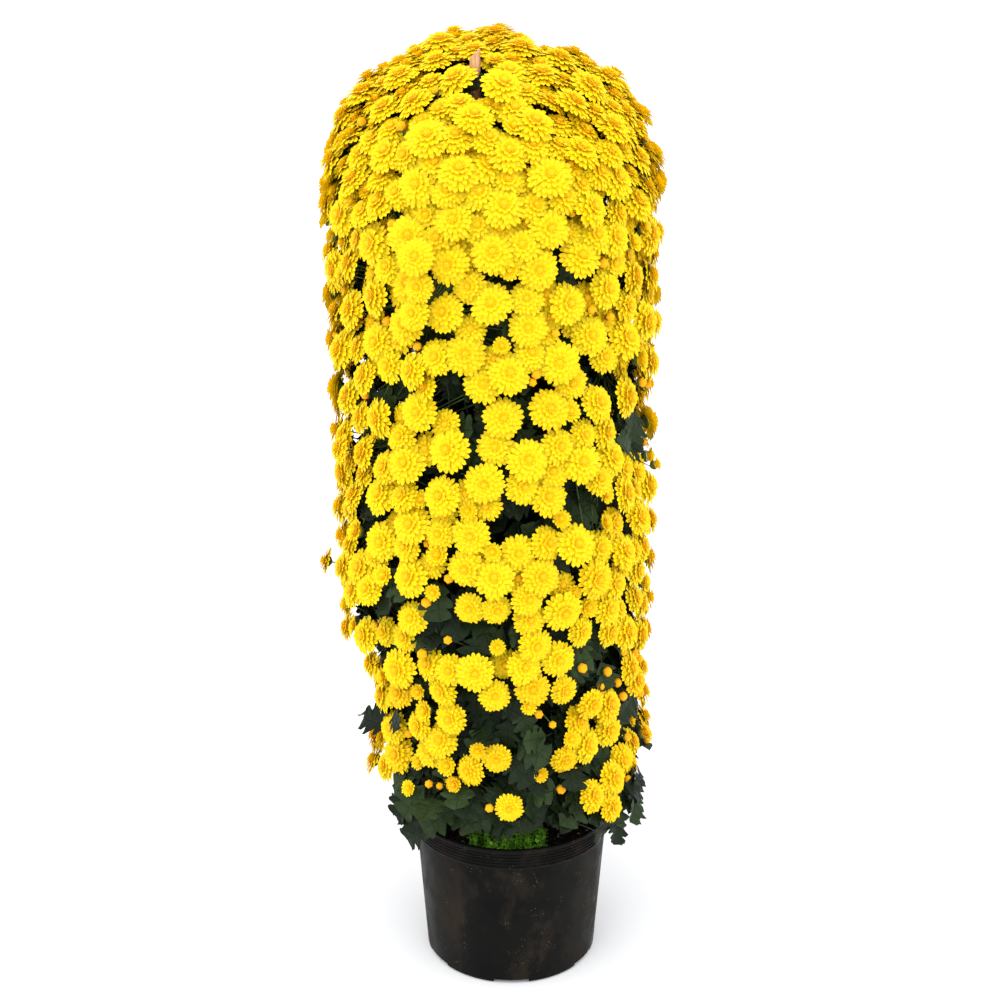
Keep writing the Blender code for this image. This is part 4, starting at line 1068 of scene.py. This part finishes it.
def leaf_top():
    """Dark leaf tissue with paler veins, a paler underside and a quilted, slightly hairy face."""
    material, tree, shader, coloured, place = leaf_green("dark leaves", LEAF_TONE_AND_SHADE, 0.5)
    _, across, along = map_of(tree)
    off_rib = reckoned(tree, "ABSOLUTE", reckoned(tree, "SUBTRACT", across, 0.5))
    rib = stops(tree, off_rib, (0.0, WHITE), (0.035, BLACK))
    off_side_rib = reckoned(tree, "PINGPONG", reckoned(tree, "MULTIPLY", along, 5.9), 1.0)
    veins = mixed(tree, 1.0, rib, stops(tree, off_side_rib, (0.0, WHITE), (0.10, BLACK)), "LIGHTEN")
    veined = mixed(tree, reckoned(tree, "MULTIPLY", veins, 0.55), coloured, VEIN_GREEN)
    under = reckoned(tree, "MULTIPLY", wire(tree, "ShaderNodeNewGeometry").outputs["Backfacing"], 0.6)
    tree.links.new(mixed(tree, under, veined, UNDER_GREEN), shader.inputs["Base Color"])
    hairs = noise_of(tree, place, 260.0, 3)
    tree.links.new(stops(tree, hairs, (0.35, (0.42,) * 3), (0.7, (0.66,) * 3)), shader.inputs["Roughness"])
    sunk, raised = reckoned(tree, "MULTIPLY", veins, -0.7), reckoned(tree, "MULTIPLY", hairs, 0.5)
    bumped(tree, shader, reckoned(tree, "ADD", sunk, raised), 0.75, 0.0020)
    return material


LEAF_TOP = leaf_top()
FACES = tree_of(HEADS)


def pokes_through(point):
    """Whether a leaf's point would stand out through a bloom's face."""
    _, index, _ = FACES.find(point)
    head = HEADS[index]
    offset = point - head.middle
    high = offset.dot(head.look)
    return high > -0.3 * head.radius and (offset - head.look * high).length < 0.95 * head.radius


def leaves_front_open(point):
    """Whether a point stays above the line of sight to the soil and the weeds, over the front rim."""
    middle, half, start, rim, height, slope = OVER_RIM
    in_view = abs(point.x - middle) < half and point.y < start
    return not (in_view and point.z < height - slope * (point.y - rim))


def keeps_clear(points):
    """Whether a leaf stays in the plant's outline, and off the pot, the soil, the cane and the front view."""
    left, right, deep = PLANT_BOX
    low, low_left, low_right = LOW_BOX
    for point in points:
        out = math.hypot(point.x, point.y)
        outside = not (left < point.x < right and abs(point.y) < deep)
        too_wide = point.z < low and not low_left < point.x < low_right
        in_wall = point.z < WALL_TOP and out > WALL_IN and (out < WALL_OUT or point.z < FLOOR_SPACE)
        in_soil = point.z < SOIL_TOP + 0.004 and out < POT_RIM
        on_cane = (point - cane_point(min(point.z, CANE_TOP.z))).length < CANE_SPACE
        if outside or too_wide or in_wall or in_soil or on_cane or not leaves_front_open(point):
            return False
    return True


def leaf_pose(draw, facing, low):
    """Directions along a leaf and out of its face: it hangs outward, more so low on the plant."""
    around = UP.cross(facing).normalized() if abs(facing.z) < 0.98 else Vector((1, 0, 0))
    climb = facing.cross(around).normalized()
    along = facing * (draw.uniform(0.25, 0.75) if low else draw.uniform(0.05, 0.45))
    along += around * draw.uniform(-1, 1) + climb * draw.uniform(-1.0, 0.25 if low else 0.5)
    along.normalize()
    normal = facing + UP * draw.uniform(0.2, 0.8) + around * draw.uniform(-0.3, 0.3)
    across = along.cross(normal).normalized()
    return along, across.cross(along).normalized(), across


def leaf_place(base, along, normal, across, length):
    turn = Matrix((across, along, normal)).transposed().to_4x4()
    return Matrix.Translation(base) @ turn @ Matrix.Diagonal((length, length, length, 1))


class Shoot:
    """One shoot of the frame: its branch from the main stem to its spray, and its growing bmesh."""

    def __init__(self, name, hub):
        bm = merged(nodes[name])
        close = sorted(((vertex.co - stem_middle(vertex.co.z)).length, vertex.index) for vertex in bm.verts)
        bm.verts.ensure_lookup_table()
        foot = [bm.verts[index].co.copy() for _, index in close[:3]]
        bm.free()
        self.name, self.hub = name, hub
        self.foot = sum(foot, Vector()) / len(foot)
        out = hub - self.foot
        aside, up = BRANCH_BEND
        self.bend = self.foot + Vector((out.x * aside, out.y * aside, out.z * up))
        self.mesh = numbered_bmesh("tint")

    def branch_point(self, share):
        return self.foot.lerp(self.bend, share).lerp(self.bend.lerp(self.hub, share), share)


def plant_leaf(shoot, draw, form, base, facing, low, tint, scale):
    """Sets one leaf at a scale, a little deeper each time that it would stand through a bloom."""
    length = draw.uniform(*LEAF_LENGTHS) * scale
    along, normal, across = leaf_pose(draw, facing, low)
    for _ in range(4):
        spots = [base + (along * u + across * v) * length for u, v in LEAF_SPOTS]
        if not any(pokes_through(spot) for spot in spots):
            break
        base = base - facing * LEAF_SINK
    ends = [base + (along * u + across * v - normal * w) * length for u, v, w in LEAF_ENDS]
    if not keeps_clear(ends):
        return
    put(shoot.mesh, form, leaf_place(base, along, normal, across, length), tint)
    joints = [shoot.branch_point(share / 8) for share in range(3, 9)]
    start = min(joints, key=lambda joint: (joint - base).length)
    bend = base - along * min(0.02, 0.4 * (base - start).length)
    add_stalk(shoot.mesh, LEAFSTALK, (start, base + along * 0.002), bend, *LEAFSTALK_RADII, tint)


def make_shoots():
    draw = random.Random(LEAF_SEED)
    shoots = [Shoot(name.replace("spray", "shoot"), HUBS[name]) for name in SPRAYS]
    for shoot in shoots:
        add_stalk(shoot.mesh, BRANCH, (shoot.foot, shoot.hub), shoot.bend, *BRANCH_RADII, 0.6)
    for layer, (count, phase, depths, tints, scale) in LEAF_LAYERS.items():
        for seat, facing in foliage_seats(count, phase):
            low = seat.z < LOW_LEAVES
            depth = draw.uniform(*depths)
            if low and layer == "outer":
                depth = draw.uniform(*LOW_DEPTHS)
            base = seat - facing * depth
            owner = min(shoots, key=lambda one: (one.hub - base).length)
            # the inner leaves draw low tints, darker deep in the plant: painted shade
            tint = draw.uniform(*tints)
            form = draw.choice(LEAVES if layer == "outer" else INSIDE_LEAVES)
            plant_leaf(owner, draw, form, base, facing, low, tint, scale)
    for shoot in shoots:
        finished(shoot.name + "_leaves", shoot.mesh, LEAF_TOP, True, [shoot.name])


make_shoots()

# Weeds
# A low tuft of a soft bright-green weed that has seeded itself in the soil along the front rim.
# Each thin sprig carries seven small rounded leaves.
WEED_SEED = 8
SPRIGS = 150
SPRIG_LEAVES = 7
SPRIG_RADII = (0.0006, 0.0004)
WEED_AZIMUTHS = (-27, 23)
WEED_REACH = (0.098, 0.129)
WEED_HEIGHTS = (0.014, 0.042)
LEAFLET_LENGTHS = (0.004, 0.008)
LEAFLET_TURN = 2.4
WEED_TONES = ((0.06, 0.17, 0.012), (0.12, 0.30, 0.022), (0.20, 0.44, 0.040))


def leaflet_form():
    """A small rounded leaf of length 1 along Y, slightly cupped."""
    bm = numbered_bmesh("tint")
    bmesh.ops.create_grid(bm, x_segments=2, y_segments=4, size=1, calc_uvs=True)
    for vertex in bm.verts:
        side, along = vertex.co.x, (vertex.co.y + 1) / 2
        half = 0.42 * math.sin(math.pi * (0.08 + 0.86 * along)) ** 0.7
        vertex.co = Vector((side * half, along, 0.12 * side * side - 0.18 * along * along))
    return mesh_of("leaflet form", bm)


def weed_green():
    material, tree, shader, coloured, place = leaf_green("weed leaves", WEED_TONES, 0.5)
    tree.links.new(coloured, shader.inputs["Base Color"])
    bumped(tree, shader, noise_of(tree, place, 500.0, 2), 0.3, 0.0005)
    return material


def make_weeds():
    draw = random.Random(WEED_SEED)
    leaflet = leaflet_form()
    bm = numbered_bmesh("tint")
    for _ in range(SPRIGS):
        turn, out = math.radians(draw.uniform(*WEED_AZIMUTHS)), draw.uniform(*WEED_REACH)
        foot = Vector((out * math.sin(turn), -out * math.cos(turn), SOIL_TOP - 0.001))
        aside, inward = draw.uniform(-0.006, 0.006), draw.uniform(-0.003, 0.006)
        tip = foot + Vector((aside, inward, draw.uniform(*WEED_HEIGHTS)))
        add_stalk(bm, LEAFSTALK, (foot, tip), foot.lerp(tip, 0.5) + UP * 0.002, *SPRIG_RADII, 0.6)
        for leaf in range(SPRIG_LEAVES):
            spin = leaf * LEAFLET_TURN + draw.uniform(-0.4, 0.4)
            along = Vector((math.cos(spin), math.sin(spin), draw.uniform(0.1, 0.9))).normalized()
            across = along.cross(UP).normalized()
            base = foot.lerp(tip, 0.45 + 0.55 * leaf / (SPRIG_LEAVES - 1))
            place = leaf_place(base, along, across.cross(along), across, draw.uniform(*LEAFLET_LENGTHS))
            put(bm, leaflet, place, draw.random())
    finished("front_weeds", bm, weed_green(), True, ["weeds"])


make_weeds()

# Floor, light and camera
# A plain pale floor under soft studio light, from a bright sky and three broad lamps, seen from the
# photo's angle.
FLOOR_HALF = 600
FLOOR_DROP = 0.0005
FLOOR_PALE = (0.86, 0.86, 0.86, 1)
SKY_WHITE = (0.97, 0.98, 1.0, 1)
SKY_STRENGTH = 1.10
LAMPS = (
    ("key", (-0.4, -1.9, 2.6), 1.30, 60),
    ("left fill", (-2.2, -1.4, 1.1), 1.00, 80),
    ("right fill", (2.2, -1.4, 1.1), 1.05, 80),
)
EYE = Vector((-0.016, -2.07, 1.32))
EYE_DOWN = 17.3
LENS = 57.6
SENSOR = 36


def add_floor():
    bm = bmesh.new()
    bmesh.ops.create_grid(bm, x_segments=1, y_segments=1, size=FLOOR_HALF)
    mesh = mesh_of("floor", bm)
    material, _, _ = new_material("pale floor", Roughness=0.9, Specular_IOR_Level=0.1, Base_Color=FLOOR_PALE)
    mesh.materials.append(material)
    floor = in_scene("floor", mesh)
    floor.location.z = -FLOOR_DROP


def add_sky():
    world = bpy.data.worlds.new("studio")
    world.use_nodes = True
    back = world.node_tree.nodes["Background"]
    back.inputs["Color"].default_value = SKY_WHITE
    back.inputs["Strength"].default_value = SKY_STRENGTH
    bpy.context.scene.world = world


def add_lamp(name, place, strength, spread):
    """A soft light from one side, even over the floor."""
    light = bpy.data.lights.new(name, "SUN")
    light.energy = strength
    light.angle = math.radians(spread)
    lamp = in_scene(name, light)
    lamp.location = place
    lamp.rotation_euler = Vector(place).to_track_quat("Z", "Y").to_euler()


def add_camera():
    camera = bpy.data.cameras.new("camera")
    camera.lens = LENS
    camera.sensor_width = SENSOR
    camera.dof.use_dof = False
    eye = in_scene("camera", camera)
    eye.location = EYE
    eye.rotation_euler = (math.radians(90 - EYE_DOWN), 0, 0)
    bpy.context.scene.camera = eye


add_floor()
add_sky()
for lamp in LAMPS:
    add_lamp(*lamp)
add_camera()
bpy.context.scene.view_settings.view_transform = "Standard"
